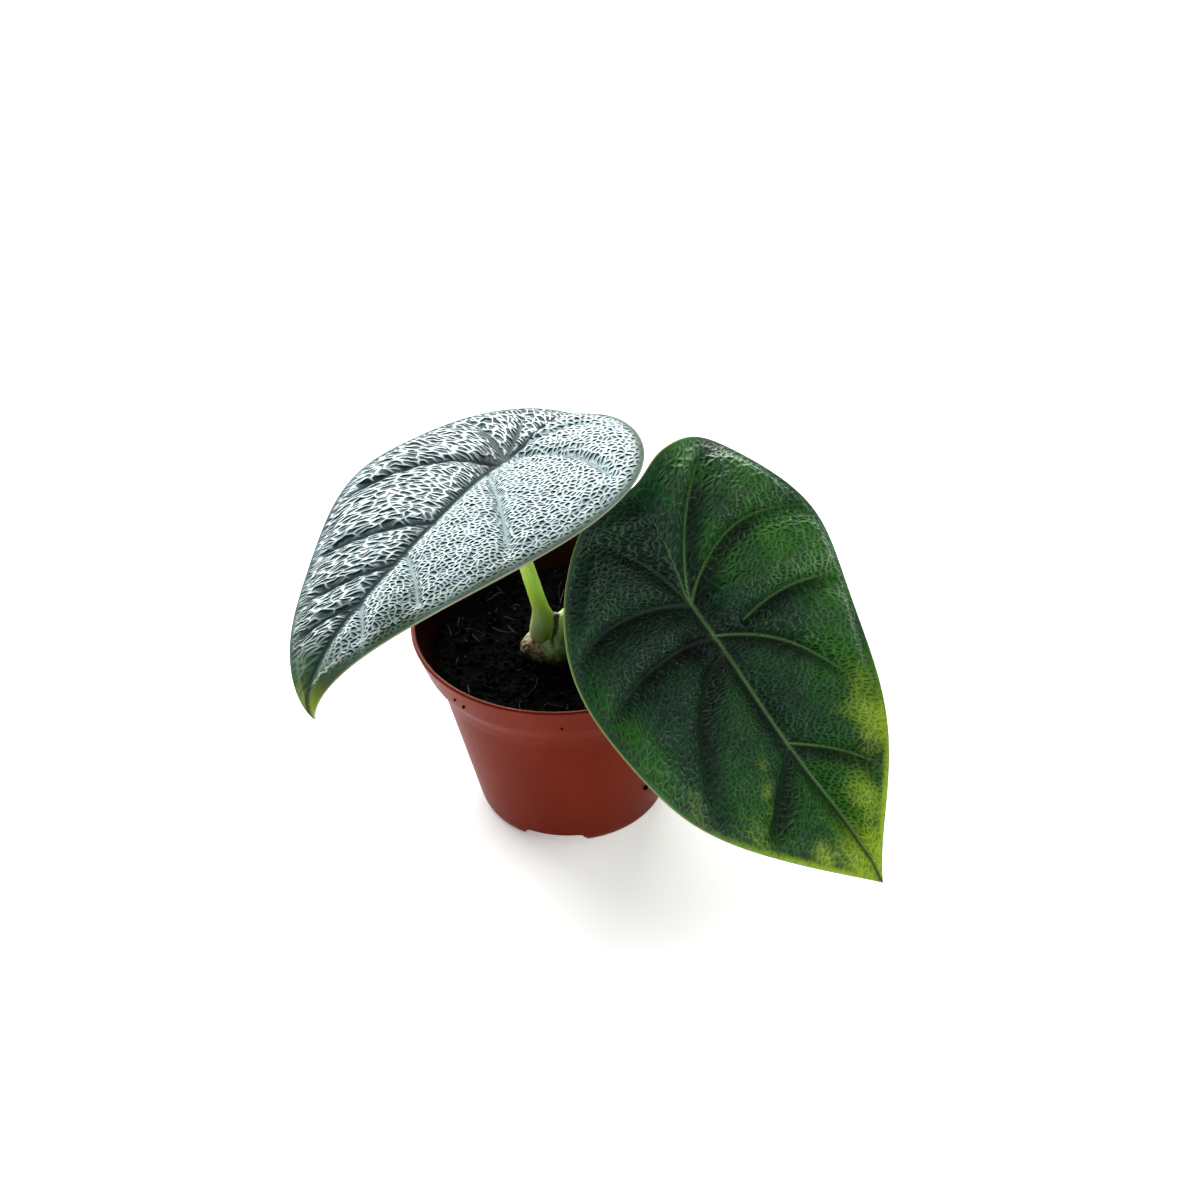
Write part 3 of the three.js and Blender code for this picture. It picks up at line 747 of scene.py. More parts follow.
def blade_maps(leaf, u, v):
    """Everything that depends on the flat place: distances, net and swelling."""
    seed = leaf["seed"]
    room = line_distance(u, v, margin_line(leaf))[0]
    vein = np.full(u.shape, 1e6)
    strength, vein_shadow = np.zeros(u.shape), np.zeros(u.shape)
    # A band on the tipward side of each vein, and one beside the midrib, where the material paints
    # shadow.
    shadow_at, shadow_wide = leaf["vein_shadow"]
    start, end = leaf["fade"]
    for line, weight in vein_lines(leaf):
        d, share, turned = line_distance(u, v, line)
        own = weight * (1 - 0.8 * smooth(start * weight, end, share))
        closer = d < vein
        vein = np.where(closer, d, vein)
        strength = np.where(closer, own, strength)
        tipward = -np.sign(line[-1, 1]) * turned * d
        vein_shadow = np.maximum(vein_shadow, own * bell((tipward - shadow_at) / shadow_wide))
    off = off_spine(leaf, u, v)[0]
    rib_shadow = smooth(-6, 4, u) * (1 - 0.7 * smooth(0.4, 0.95, u / leaf["front"]))
    vein_shadow = np.maximum(vein_shadow, bell((off + shadow_at) / shadow_wide) * rib_shadow)
    rib = np.abs(off) * np.where(u > 0, 1, 0.6) + np.where(u > 0, 0, -0.5 * u)

    cell, along, across = net_places(leaf, u, v)
    coarse, _, lift = cells(along / (1.5 * COARSE_CELL), across / COARSE_CELL, seed + 2)
    uneven = 0.85 + 0.45 * layered(u / 1.6, v / 1.6, seed + 6)
    return {
        "room": room, "vein": vein, "strength": strength, "rib": rib, "off": off, "vein_shadow": vein_shadow,
        "inside": smooth(COLLECTIVE_VEIN * 0.7, COLLECTIVE_VEIN + 2.5, room), "cell": cell,
        "net": bell(net_distance(cell) / 0.28) * uneven, "swell": 1 - bell(coarse / 0.2),
        "lift": lift, "tiny": layered(u / 0.9, v / 0.9, seed + 5, 2),
    }


def blade_heights(leaf, u, v, maps):
    """Heights of the upper and the lower face over the middle surface, in millimetres."""
    room, vein, rib = maps["room"], maps["vein"], maps["rib"]
    inside, strength = maps["inside"], maps["strength"]
    between = (1 - bell(vein / leaf["valley"])) * (1 - bell(rib / (leaf["valley"] + 0.4)))
    at_u, at_v, long, broad, sunk = leaf["trough"]
    pillow = inside * leaf["quilt"] * (between - 0.25)
    pillow = pillow - sunk * bell(np.hypot((u - at_u) / long, (v - at_v) / broad))
    coarse = inside * 0.3 * (maps["swell"] - 0.6) * smooth(0.4, 2.0, vein) * smooth(0.8, 2.5, rib)
    calm = smooth(0.25, 1.1, vein + (1 - strength)) * smooth(0.5, 1.6, rib)
    rough = mix(0.15, 1, smooth(COLLECTIVE_VEIN - 0.4, COLLECTIVE_VEIN + 1.2, room))
    relief = NET_HEIGHT * maps["net"] + 0.04 * maps["tiny"] + 0.1 * (maps["lift"] - 0.5)
    fine = calm * rough * relief
    deep, wide = leaf["groove"]
    groove = inside * np.maximum(deep * strength * bell(vein / wide), 0.55 * bell(rib / 1.1))
    line = inside * (0.1 * strength * bell(vein / 0.3) + 0.22 * bell(rib / 0.45))
    collective = 0.12 * (bell((room - COLLECTIVE_VEIN) / 0.4)
                         - 0.8 * bell((room - COLLECTIVE_VEIN - 0.9) / 0.6))
    edge = np.clip(room / EDGE_ROUND, 0, 1)
    half = BLADE_HALF * mix(0.72, 1, smooth(0, 4, room)) * np.sqrt(1 - (1 - edge) ** 2)
    fade = smooth(0, 1.2, room)
    upper = half + fade * (pillow + coarse + fine + line - groove + collective)
    taper = mix(1, 0.35, np.clip(u / leaf["front"], 0, 1))
    ribs = inside * (0.42 * strength * bell(vein / 1.3) + 0.85 * taper * bell(rib / 1.5))
    lower = -half + fade * (pillow + 0.7 * coarse + 0.25 * fine - 0.3 * groove - ribs)
    return upper, np.minimum(lower, upper - 1.6 * half)


def blade_rows(leaf):
    """Shares along the leaf, evenly spread over midrib and margin together."""
    s = np.linspace(0, 1, 4001) ** 2
    u, v = margin_point(leaf, 1, s)
    margin = np.concatenate([[0], np.cumsum(np.hypot(np.diff(u), np.diff(v)))])
    both = 0.5 * margin / margin[-1] + 0.5 * s
    return np.interp(np.linspace(0, 1, BLADE_ROWS + 1), both, s)


def blade_columns():
    """Shares across one side, with extra columns close to the margin."""
    inner = np.linspace(0, 0.984, BLADE_COLUMNS - 4)
    return np.concatenate([inner, [0.9895, 0.9935, 0.9965, 0.9988, 1.0]])


def blade_grid(leaf):
    """Flat places of the upper face, row by row and then its back and its tip, and their numbers."""
    rows, side = blade_rows(leaf)[1:-1], blade_columns()
    shares = np.concatenate([-side[:0:-1], side])
    s, w = (places.ravel() for places in np.meshgrid(rows, shares, indexing="ij"))
    wide = by_side(leaf, "width", w) * half_width(leaf, s)
    v = w * wide
    u = share_to_u(leaf, s, v)
    bow = middle = spine(leaf, u)
    for _ in range(4):
        middle = bow * (1 - (middle / wide) ** 2)
    u = np.concatenate([u, [leaf["sinus"] - leaf["back"], leaf["front"]]])
    v = np.concatenate([v + middle * (1 - w * w), [0.0, 0.0]])
    return u, v, np.arange(s.size).reshape(len(rows), len(shares))


def spaced(first, last):
    """Every LOWER_STEP-th number, and the last one in any case."""
    kept = list(range(first, last + 1, LOWER_STEP))
    return kept if kept[-1] == last else [*kept, last]


def blade_faces(grid):
    """Faces of both sides, the number of upper ones, and the places that the coarser lower face
    repeats. The two meet along the upper face's border."""
    rows, columns = grid.shape
    back, tip = grid.size, grid.size + 1
    corners = (grid[:-1, :-1], grid[1:, :-1], grid[1:, 1:], grid[:-1, 1:])
    faces = np.stack([corner.ravel() for corner in corners], 1).tolist()
    faces += [[back, grid[0, k], grid[0, k + 1]] for k in range(columns - 1)]
    faces += [[tip, grid[-1, k + 1], grid[-1, k]] for k in range(columns - 1)]
    upper_count = len(faces)

    kept = spaced(0, rows - 1)
    repeated = grid[np.ix_(kept, spaced(1, columns - 2))]
    under = grid.size + 2 + np.arange(repeated.size).reshape(repeated.shape)
    for i in range(len(kept) - 1):
        for k in range(under.shape[1] - 1):
            faces.append([under[i, k], under[i, k + 1], under[i + 1, k + 1], under[i + 1, k]])
        for column, flip in ((0, False), (-1, True)):
            strip = grid[kept[i]:kept[i + 1] + 1, column]
            near, far = under[i, column], under[i + 1, column]
            half = len(strip) // 2
            fan = [[strip[j], near, strip[j + 1]] for j in range(half)]
            fan.append([strip[half], near, far])
            fan += [[strip[j], far, strip[j + 1]] for j in range(half, len(strip) - 1)]
            faces += [face[::-1] if flip else face for face in fan]
    for end, row, flip in ((back, 0, False), (tip, -1, True)):
        chain = [grid[row, 0], *under[row].tolist(), grid[row, -1]]
        for k in range(len(chain) - 1):
            face = [end, chain[k + 1], chain[k]]
            faces.append(face[::-1] if flip else face)
    return faces, upper_count, repeated.ravel()


def slopes_over(grid_points, values):
    """How fast a value grows over a grid of surface points, as vectors along the surface."""
    by_row, by_column = np.gradient(grid_points, axis=(0, 1))
    value_row, value_column = np.gradient(values)
    e = (by_row * by_row).sum(-1)
    f = (by_row * by_column).sum(-1)
    g = (by_column * by_column).sum(-1)
    size = np.maximum(e * g - f * f, 1e-9)
    slope = (((g * value_row - f * value_column) / size)[..., None] * by_row
             + ((e * value_column - f * value_row) / size)[..., None] * by_column)
    long = np.linalg.norm(slope, axis=-1, keepdims=True)
    return slope * np.minimum(1, 1.6 / np.maximum(long, 1e-6))


def vein_marks(leaf, u, maps):
    """Where the material draws light vein lines, painted shade in the grooves beside them, and ribs
    below.
    """
    off, vein, strength = maps["off"], maps["vein"], maps["strength"]
    from_rib = off + np.where(u > 0, 0, np.sign(off) * -0.5 * u)

    def marks(width, rib_at, rib_width):
        return np.maximum(strength * bell(vein / width), bell((from_rib - rib_at) / rib_width))

    return {"line": marks(0.2, *leaf["rib_line"]),
            "groove_shade": marks(by_side(leaf, "groove_shade", off), *leaf["rib_groove_shade"]),
            "under": np.maximum(strength * bell(vein / 1.1), bell(maps["rib"] / 1.3))}


def make_blade(leaf, name, node, slot, materials):
    u, v, grid = blade_grid(leaf)
    maps = blade_maps(leaf, u, v)
    high, low = blade_heights(leaf, u, v, maps)
    base, normal = blade_place(leaf, u, v), blade_normal(leaf, u, v)
    upper = base + normal * high[:, None]
    lower = base + normal * low[:, None]
    border = [*grid[:, 0], *grid[:, -1], grid.size, grid.size + 1]
    upper[border] = base[border]
    faces, upper_count, repeated = blade_faces(grid)
    piece = add_mesh(name, np.vstack([upper, lower[repeated]]), faces, materials)
    declare(piece, slot, node)
    below = np.arange(len(faces)) >= upper_count
    piece.data.polygons.foreach_set("material_index", below.astype(np.int32))

    pick = np.concatenate([np.arange(len(upper)), repeated])
    add_vector_attribute(piece, "flat", np.stack([u, v, 0 * u], 1)[pick])
    add_vector_attribute(piece, "cell", maps["cell"][pick])
    for axis, key in enumerate(("slope_a", "slope_b")):
        slope = slopes_over(base[grid], maps["cell"][grid, axis]).reshape(-1, 3)
        add_vector_attribute(piece, key, np.vstack([slope, np.zeros((2, 3))])[pick])
    shown = {key: maps[key] for key in ("room", "net", "vein_shadow")}
    for key, value in (shown | vein_marks(leaf, u, maps) | leaf_colours(leaf, u, v, maps)).items():
        add_attribute(piece, key, value[pick])
    return piece


# Colour zones of a leaf: (u, v, reach along, reach across, weight)
YELLOW_SPOTS = {
    11: [(69, 0, 5.5, 7, 1.0)],
    47: [(41, 18, 9, 6, 0.74), (34, 20, 6, 5, 0.5), (31, -8, 2.6, 2.4, 0.35), (36, -10, 3, 2.6, 0.5),
         (40, -11, 3, 2.4, 0.35), (63, 1, 12, 8, 1.0), (46, -17, 12, 3.4, 0.4), (52, 8, 9, 4, 0.65),
         (30, -26, 9, 2.6, 0.35), (55, -7, 6, 3, 0.7)],
}
# On the right blade most of the lighter green lies on its lit half: partly the leaf's own tone, partly
# painted light.
GREEN_SPOTS = {
    11: [(63, 0, 9, 9, 1.0), (48, 11, 8, 4, 0.7), (30, 21, 8, 4, 0.35), (50, -11, 9, 3, 0.5)],
    47: [(-2, 22, 13, 9, 0.85), (10, 28, 14, 9, 0.9), (28, 20, 13, 9, 0.75), (-24, 14, 8, 6, 0.85),
         (40, -14, 15, 7, 0.6), (22, -6, 7, 4, 0.35), (52, 3, 15, 10, 0.9), (12, -31, 18, 4, 0.6),
         (-6, 10, 7, 6, 0.55), (-12, 24, 8, 5, 0.6)],
}


def leaf_colours(leaf, u, v, maps):
    """Shares of the leaf's colours, with bald for the tip without a net, painted shade for the trough by
    the stalk, and the half on the lit side of the midrib, which the material paints paler as painted
    light.
    """
    seed = leaf["seed"]

    def widest(spots):
        total = np.zeros(u.shape)
        for cu, cv, ru, rv, weight in spots:
            wobble = 1 + 0.35 * layered(u / 5 + cu, v / 5 + cv, seed + 31)
            total = np.maximum(total, weight * bell(np.hypot((u - cu) / ru, (v - cv) / rv) * wobble))
        return total

    yellow = widest(YELLOW_SPOTS[seed])
    if leaf is RIGHT_LEAF:
        toward_tip = smooth(0.45, 0.9, (u + leaf["back"]) / length_of(leaf))
        yellow = np.maximum(yellow, 0.85 * bell(maps["room"] / 1.5) * toward_tip)
    at_u, at_v, long, broad, _ = leaf["trough"]
    # Where the material paints shade into the trough beside the stalk's top.
    trough_shade = bell(np.hypot((u - at_u) / (1.4 * long), (v - at_v) / (1.4 * broad)))
    # The half on the lit side of the midrib: the material paints it paler and draws its vein lines and
    # margin there, as painted light.
    lit_half = smooth(*leaf["light_side"], maps["off"])
    lit_half = lit_half * (0.8 + 0.2 * layered(u / 6, v / 6, seed + 41))
    colours = {"bald": smooth(*leaf["bald"], u), "yellow": yellow,
               "green": widest(GREEN_SPOTS[seed]), "lit_half": lit_half, "trough_shade": trough_shade}
    return {key: np.clip(value, 0, 1) for key, value in colours.items()}


# Screen colours of the two kinds of blade, and how their net and gloss are drawn. The slot, vein band
# and groove colours are painted shade.
SILVER_LOOK = {
    "dark": (34, 62, 66), "middle": (66, 94, 98), "green": (50, 84, 40), "yellow": (124, 142, 34),
    "slot": (12, 38, 42), "vein_shadow": (10, 36, 40), "groove_shade": (6, 30, 34), "vein": (196, 212, 206),
    "under_rim": (168, 164, 128), "bare": (0.12, 0.5), "ridge": 0.6, "relief": 0.34,
    "shaded": "Y", "gloss": 0.24,
}
GREEN_LOOK = {
    "dark": (0, 50, 30), "middle": (6, 78, 32), "green": (54, 132, 8), "yellow": (172, 208, 50),
    "slot": (2, 14, 12), "vein_shadow": (3, 18, 14), "groove_shade": (4, 24, 18), "vein": (128, 176, 94),
    "under_rim": (138, 156, 70), "bare": (0.35, 0.85), "ridge": 0.5, "relief": 0.36,
    "shaded": "Z", "gloss": 0.27,
}


def blade_upper_material(name, look):
    sh = Shader(name)
    silver = look is SILVER_LOOK
    flat, cell = sh.attribute("flat", vector=True), sh.attribute("cell", vector=True)
    groove_shade, room, lit_half, yellow, green = (sh.attribute(key) for key in (
        "groove_shade", "room", "lit_half", "yellow", "green"))
    patches = sh.noise(flat, 0.35, 3, 0.6)
    small = sh.noise(flat, 0.9, 4, 0.6)
    edge = sh.borders(cell)
    uneven = (small - 0.5) * 0.16
    bare = groove_shade * lit_half.band(0, 1, 1, 0.5) if silver else groove_shade
    spread = room.band(0.3, 1.6) * bare.band(*look["bare"], 1, 0.05)
    spread = spread * sh.attribute("bald").band(0, 1, 1, 0.12)
    net = (edge + uneven).band(0.03, 0.15, 1, 0) * spread

    def ridge(place):
        return (sh.borders(place) + uneven).band(0, look["ridge"], 1, 0) * spread

    sh.colour = sh.blend(sh.noise(flat, 0.09, 3, 0.55).band(0.32, 0.68), look["dark"], look["middle"])
    if silver:
        # The silver blade's half on the lit side of the midrib is painted paler: painted light.
        sh.coat(lit_half, (176, 200, 202))
    sh.coat(green, look["green"])
    sh.coat((yellow + (patches - 0.5) * 0.35).band(0.1, 0.95), look["yellow"])
    # The middles of the net's cells are painted darker: painted shade in the sunken cells.
    sunk = sh.blend(small.band(0.3, 0.7, 0.7, 0.1), sh.colour, (0, 0, 0))
    sh.coat(edge.band(0.05, 0.4, 0, 0.7), sunk)
    if silver:
        # The net's lines are painted near white: partly the leaf's own silvery net, partly painted
        # highlight on the ridges, stronger on the lit half.
        strength = patches.band(0.3, 0.65, 0.45, 0.85) * (
            lit_half.band(0, 1, 0.72, 1) * green.band(0, 1, 1, 0.4))
        sh.coat(net * strength, (232, 246, 244))
        margin = (room - green.band(0.1, 0.8, 0, 1.4)).band(0.5, 2.6, 0.9, 0)
        sh.coat(margin * lit_half.band(0, 1, 0.1, 1), sh.blend(yellow, (46, 70, 36), (138, 156, 36)))
        wavy = room + small.band(0.3, 0.7, -0.5, 0.5)
        collective = wavy.band(2.0, 2.35) * wavy.band(2.45, 2.8, 1, 0)
        sh.coat(collective * lit_half.band(0.2, 0.8, 0, 0.8), (196, 212, 200))
        dots = sh.spots(flat, 0.42).band(0.07, 0.11, 0.9, 0)
        sh.coat(dots * green.band(0.6, 0.9), (12, 14, 8))
    else:
        # Faint pale net lines: partly the veinlets' own colour, partly painted sheen on the ridges.
        sh.coat(net * patches.band(0.4, 0.7, 0, 0.07), (84, 140, 84))

    normal, lean = sh.relief(cell, ridge, look["relief"])
    # Ridge flanks that lean toward the negative side of the shaded axis, away from the light, are
    # painted dark: painted shade.
    slot = sh.part(lean, look["shaded"]) * -1.0
    if silver:
        slot = slot.band(0.05, 0.4) * patches.band(0.3, 0.6, 0.85, 1)
        vein_shadow, depth = lit_half.band(0, 1, 0.5, 0), lit_half.band(0, 1, 0.95, 0.15)
        light = sh.attribute("line") * lit_half.band(0, 1, 0.1, 0.55) * green.band(0.3, 1, 1, 0.1)
        rim = sh.blend(lit_half, (232, 240, 236), (160, 164, 128))
    else:
        slot = slot.band(0.08, 0.6, 0, 0.9) * yellow.band(0.2, 0.8, 1, 0.3)
        vein_shadow, depth = yellow.band(0.2, 0.8, 0.72, 0.25), 0.9
        light = sh.attribute("line") * lit_half.band(0, 1, 0.08, 0.72)
        rim = (126, 148, 84)
    sh.coat(slot, look["slot"])
    # Painted shadow on the tipward side of each vein and beside the midrib.
    sh.coat(sh.attribute("vein_shadow") * vein_shadow, look["vein_shadow"])
    # The vein grooves are painted dark, on the silver blade mostly on the half away from the light:
    # painted shade.
    sh.coat(groove_shade * depth, look["groove_shade"])
    # Painted shade in the trough beside the stalk's top.
    sh.coat(sh.attribute("trough_shade") * 0.85, (3, 16, 12))
    # Pale vein lines: the veins' own paler colour, shown mostly on the lit half as painted highlight.
    sh.coat(light, look["vein"])
    # A thin paler rim along the margin: the edge's own colour, and on the silver blade's far half a
    # near-white painted highlight.
    sh.coat(room.band(0.02, 0.3, 0.8, 0), rim)
    shine = {}
    if silver:
        rough = net.band(0.1, 0.8, 0.62, 0.3) + room.band(1.2, 2.4, 0.2, 0)
        rough = sh.math("ADD", rough, groove_shade * 0.35, clamp=True)
        rough = sh.math("ADD", rough, slot * 0.3, clamp=True)
        glint = net * (room.band(1.6, 3.0) * slot.band(0.1, 0.6, 1, 0))
        shine["metallic"] = glint * lit_half.band(0, 1, 0.3, 0.1)
    else:
        rough = net.band(0.1, 0.8, 0.52, 0.24) + small.band(0.3, 0.7, -0.03, 0.1)
    skin = sh.bump(sh.noise(flat, 3.4, 4, 0.65), 0.3, 0.00006, normal)
    return sh.finished(roughness=rough, specular_ior_level=look["gloss"], normal=skin, **shine)


def blade_lower_material(name, look):
    sh = Shader(name)
    flat = sh.attribute("flat", vector=True)
    small = sh.noise(flat, 0.8, 4, 0.6)
    sh.colour = sh.blend(small.band(0.3, 0.7), (74, 108, 76), (98, 132, 94))
    sh.coat(sh.attribute("net").band(0.3, 0.9) * 0.35, (60, 90, 60))
    sh.coat(sh.attribute("yellow") * 0.6, (146, 170, 66))
    sh.coat(sh.attribute("under").band(0.2, 0.95, 0, 0.8), (150, 178, 108))
    sh.coat(sh.attribute("room").band(0.05, 0.5, 0.8, 0), look["under_rim"])
    return sh.finished(roughness=small.band(0.2, 0.8, 0.42, 0.58), specular_ior_level=0.4,
                       normal=sh.bump(sh.noise(flat, 2.2, 4, 0.6), 0.4, 0.00012))


# Stalks

def stalk_material():
    sh = Shader("stalk_skin")
    place = sh.place()
    streak = sh.noise(sh.scaled(sh.attribute("round", vector=True), (1, 1, 0.06)), 2.6, 4, 0.6)
    sh.colour = sh.blend(streak.band(0.3, 0.72), (190, 236, 60), (226, 246, 130))
    # The stalk's foot is painted lighter on the side toward the light and darker away from it: painted
    # light and shade over its own pale colour.
    foot = sh.blend(sh.attribute("lit_side").band(0.25, 0.85), (96, 116, 26), (216, 222, 170))
    sh.coat(sh.attribute("along").band(0.02, 0.3, 0.85, 0), foot)
    speck = sh.spots(place, 620).band(0.10, 0.16, 1, 0) * sh.noise(place, 160, 2).band(0.5, 0.62)
    sh.coat(speck * 0.6, (92, 104, 40))
    # Darker in the crease where the two stalks press together: painted shade.
    crease_dark = sh.attribute("crease_shade_and_flake_edge") + sh.noise(place, 700).band(0.3, 0.7, -0.3, 0.3)
    sh.coat(crease_dark.band(0.25, 0.6) * 0.9, (38, 34, 12))
    return sh.finished(
        roughness=streak.band(0.2, 0.8, 0.28, 0.42), specular_ior_level=0.5,
        subsurface_weight=0.35, subsurface_radius=(0.7, 1.0, 0.25), subsurface_scale=0.0012,
        normal=sh.bump(streak, 0.35, 0.0002))


def stalk_width(share, base, tip):
    width = mix(base, tip, share ** 0.7)
    width = width + 1.5 * (1 - smooth(0, 0.16, share)) + 0.35 * smooth(0.88, 0.96, share)
    return width * (1 - 0.72 * smooth(0.965, 1, share))


def make_stalk(name, node, path, leaf, tip, seed, material, other):
    """A stalk along its path to the blade. Where it meets the other stalk's path, the crease between the
    two is marked for painted shade.
    """
    middle = np.zeros(1)
    end = blade_place(leaf, middle, middle)[0] - 0.95 * blade_normal(leaf, middle, middle)[0]
    points = spline([*path, end], 150)
    segments = 40

    def radius_at(share, angles):
        rib = 0.035 * np.sin(7 * angles + 2.0 * share + seed) + 0.02 * np.sin(13 * angles - share)
        slow = 0.06 * math.sin(9 * share + seed) + 0.03 * math.sin(23 * share)
        return stalk_width(share, STALK_BASE, tip) + rib + slow

    rings = tube_rings(points, radius_at, segments)
    skin, faces = ring_body(points[0], rings, points[-1])
    piece = declare(add_mesh(name, skin, faces, [material]), "stalk", node)
    shares = np.concatenate([[0], np.repeat(np.linspace(0, 1, len(rings)), segments), [1]])
    angles = np.concatenate([[0], np.tile(round_angles(segments), len(rings)), [0]])
    add_attribute(piece, "along", shares)
    gap = np.linalg.norm(skin[:, None] - spline(other, 60)[None], axis=2)
    gap = (gap - stalk_width(np.linspace(0, 0.65, 60), STALK_BASE, tip)).min(1)
    # Closeness to the other stalk: the crease between them gets painted shade.
    add_attribute(piece, "crease_shade_and_flake_edge", bell(gap / 0.42) * smooth(48.4, 47.2, skin[:, 2]))
    outward = skin - np.vstack([points[:1], np.repeat(points, segments, axis=0), points[-1:]])
    outward = outward / np.maximum(np.linalg.norm(outward, axis=1), 1e-6)[:, None]
    # How far each point faces the light, for painted light and shade.
    add_attribute(piece, "lit_side", 0.5 + 0.5 * outward @ np.array([-0.95, 0.3, 0.1]))
    add_vector_attribute(piece, "round", ring(1.6, angles, shares * 40))
    return piece


# Corm

def make_corm(material):
    stations, profile = np.array(CORM_PROFILE).T
    segments = 120
    angles = round_angles(segments)
    shares = np.linspace(0, 0.985, 100)
    radii = np.interp(shares, stations, profile)
    radii = np.convolve(np.pad(radii, 3, "edge"), np.ones(7) / 7, "valid")
    rings, flake, crease_shade_and_flake_edge = [], [0.0], [0.0]
    for share, radius in zip(shares, radii):
        bulge = 1.0 * bell((share - 0.55) / 0.16) * bell((angles - np.pi) / 0.7)
        uneven = 0.18 * np.sin(3 * angles + 9 * share) + 0.1 * np.sin(7 * angles - 5 * share)
        patch = bell((angles - 3.6) / 0.85) * bell((share - 0.6) / 0.17)
        x, y = angles * 5, np.full_like(angles, share * 17)
        border, _, own = cells(x, y, 5, 0.8)
        scale = patch * (0.34 * own - 0.28 * bell(border / 0.12))
        grain = 0.05 * layered(x / 0.9 * 2.2, y / 0.9 * 2.2, 8)
        crack = bell((angles - 4.66 - 0.12 * np.sin(14 * share)) / 0.09) * smooth(0.62, 0.74, share)
        r = radius + bulge + uneven + scale + grain * (1 + 2 * patch) - 0.55 * crack - 0.1
        flatten = mix(0.95, 0.72, smooth(0.6, 0.95, share))
        lean = CORM_LEAN * smooth(0.5, 1, share)
        rings.append(np.stack([CORM_CENTRE[0] + lean + r * np.cos(angles),
                               CORM_CENTRE[1] + r * flatten * np.sin(angles),
                               np.full_like(r, mix(CORM_BOTTOM, CORM_TOP, share))], 1))
        flake.extend(patch * (0.55 + 0.45 * own))
        # The crease down the corm's front, marked for painted shade, and the edges of the flaky patch.
        crease_shade_and_flake_edge.extend(np.clip(crack + patch * bell(border / 0.1) * (own > 0.3), 0, 1))
    bottom = (*CORM_CENTRE, CORM_BOTTOM - 0.3)
    top = (CORM_CENTRE[0] + CORM_LEAN, CORM_CENTRE[1], CORM_TOP - 0.1)
    piece = declare(add_mesh("corm_body", *ring_body(bottom, rings, top), [material]), "corm", "corm")
    add_attribute(piece, "flake", [*flake, 0.0])
    add_attribute(piece, "crease_shade_and_flake_edge", [*crease_shade_and_flake_edge, 0.0])
    add_attribute(piece, "height", [0.0, *np.repeat(shares, segments), 1.0])
    # How far each point faces the light, for painted light and shade.
    lit_side = np.tile(0.5 + 0.5 * np.cos(angles - 3.0), len(rings))
    add_attribute(piece, "lit_side", [0.5, *lit_side, 0.5])
    return piece


def corm_material():
    sh = Shader("corm_skin")
    place = sh.place()
    flake, height = sh.attribute("flake"), sh.attribute("height")
    small = sh.noise(place, 900, 5, 0.65)
    lit_side = sh.attribute("lit_side") + sh.noise(place, 220, 3, 0.6).band(0.3, 0.7, -0.25, 0.25)
    # The corm is painted lighter on the side toward the light and darker on the far side: painted light
    # and shade over its own whitish green.
    sh.colour = sh.blend(lit_side.band(0.15, 0.95), (72, 88, 22), (206, 212, 158))
    sh.coat(height.band(0.74, 0.9, 0, 0.8), (150, 190, 60))
    tan = sh.blend(small.band(0.35, 0.7), (140, 104, 64), (206, 178, 132))
    sh.coat((flake + small * 0.35).band(0.35, 0.62), tan)
    sh.coat(height.band(0.9, 0.94, 0, 0.9), (60, 50, 20))
    # Painted shade in the crease down the corm's front, and darker edges of the flaky patch.
    sh.coat(sh.attribute("crease_shade_and_flake_edge") * 0.92, (34, 26, 18))
    sh.coat(sh.spots(place, 420).band(0.18, 0.3, 1, 0) * flake * 0.9, (38, 28, 20))
    # Darker toward the bottom, where the corm sits in shade: painted shade.
    bottom_shade = height + small.band(0.3, 0.7, -0.05, 0.05)
    sh.coat(bottom_shade.band(0.48, 0.68, 0.92, 0), (34, 30, 14))
    return sh.finished(
        roughness=small.band(0.2, 0.8, 0.4, 0.62), subsurface_weight=0.15,
        subsurface_radius=(0.8, 1.0, 0.4), subsurface_scale=0.0008,
        normal=sh.bump(small, 0.5, 0.00025))


# Soil

def soil_lumps():
    random = Random(20)
    lumps = []
    for _ in range(LUMPS):
        x, y = random.place(26)
        size = 1.4 + 1.8 * random()
        lumps.append((x, y, size, 0.25 + 0.55 * random()))
    return lumps


def soil_top(x, y):
    """Height of the soil: low hills, crumbs of two sizes and a rough grain."""
    z = SOIL_LEVEL + 0.25 * np.sin(0.35 * x + 1) * np.cos(0.3 * y)
    for cx, cy, size, high in soil_lumps():
        z = z + high * bell(np.hypot(x - cx, y - cy) / size)
    crumb, _, own = cells(x / 1.5, y / 1.5, 61, 0.9)
    fine, _, own_fine = cells(x / 0.7 + 3, y / 0.7, 62, 0.9)
    rough = 0.5 * layered(x / 1.1, y / 1.1, 63, 4)
    return (z - 0.45 + 0.45 * own * smooth(0, 0.25, crumb)
            + 0.22 * own_fine * smooth(0, 0.3, fine) + 0.45 * rough)


def make_soil(material):
    edge = COLLAR_RADIUS - WALL - GAP - 0.2
    angles = round_angles(220)
    floor = FLOOR_TOP + GAP
    side = [(BASE_RADIUS - WALL - 0.6 - GAP, floor), (BASE_RADIUS - WALL - 0.1 - GAP, floor + 0.5),
            (WALL_TOP_RADIUS - WALL - GAP - 0.05, COLLAR_HEIGHT - 0.4), (edge, COLLAR_HEIGHT + 1.2)]
    rings = [ring(radius, angles, z) for radius, z in side]
    for share in np.linspace(1, 0.012, 84):
        x, y, _ = ring(edge * share, angles, 0).T
        rings.append(np.stack([x, y, soil_top(x, y) - 0.8 * smooth(0.94, 1, share)], 1))
    top = (0, 0, soil_top(np.zeros(1), np.zeros(1))[0])
    points, faces = ring_body((0, 0, floor), rings, top)
    return declare(add_mesh("soil_bed", points, faces, [material]), "soil", "soil")


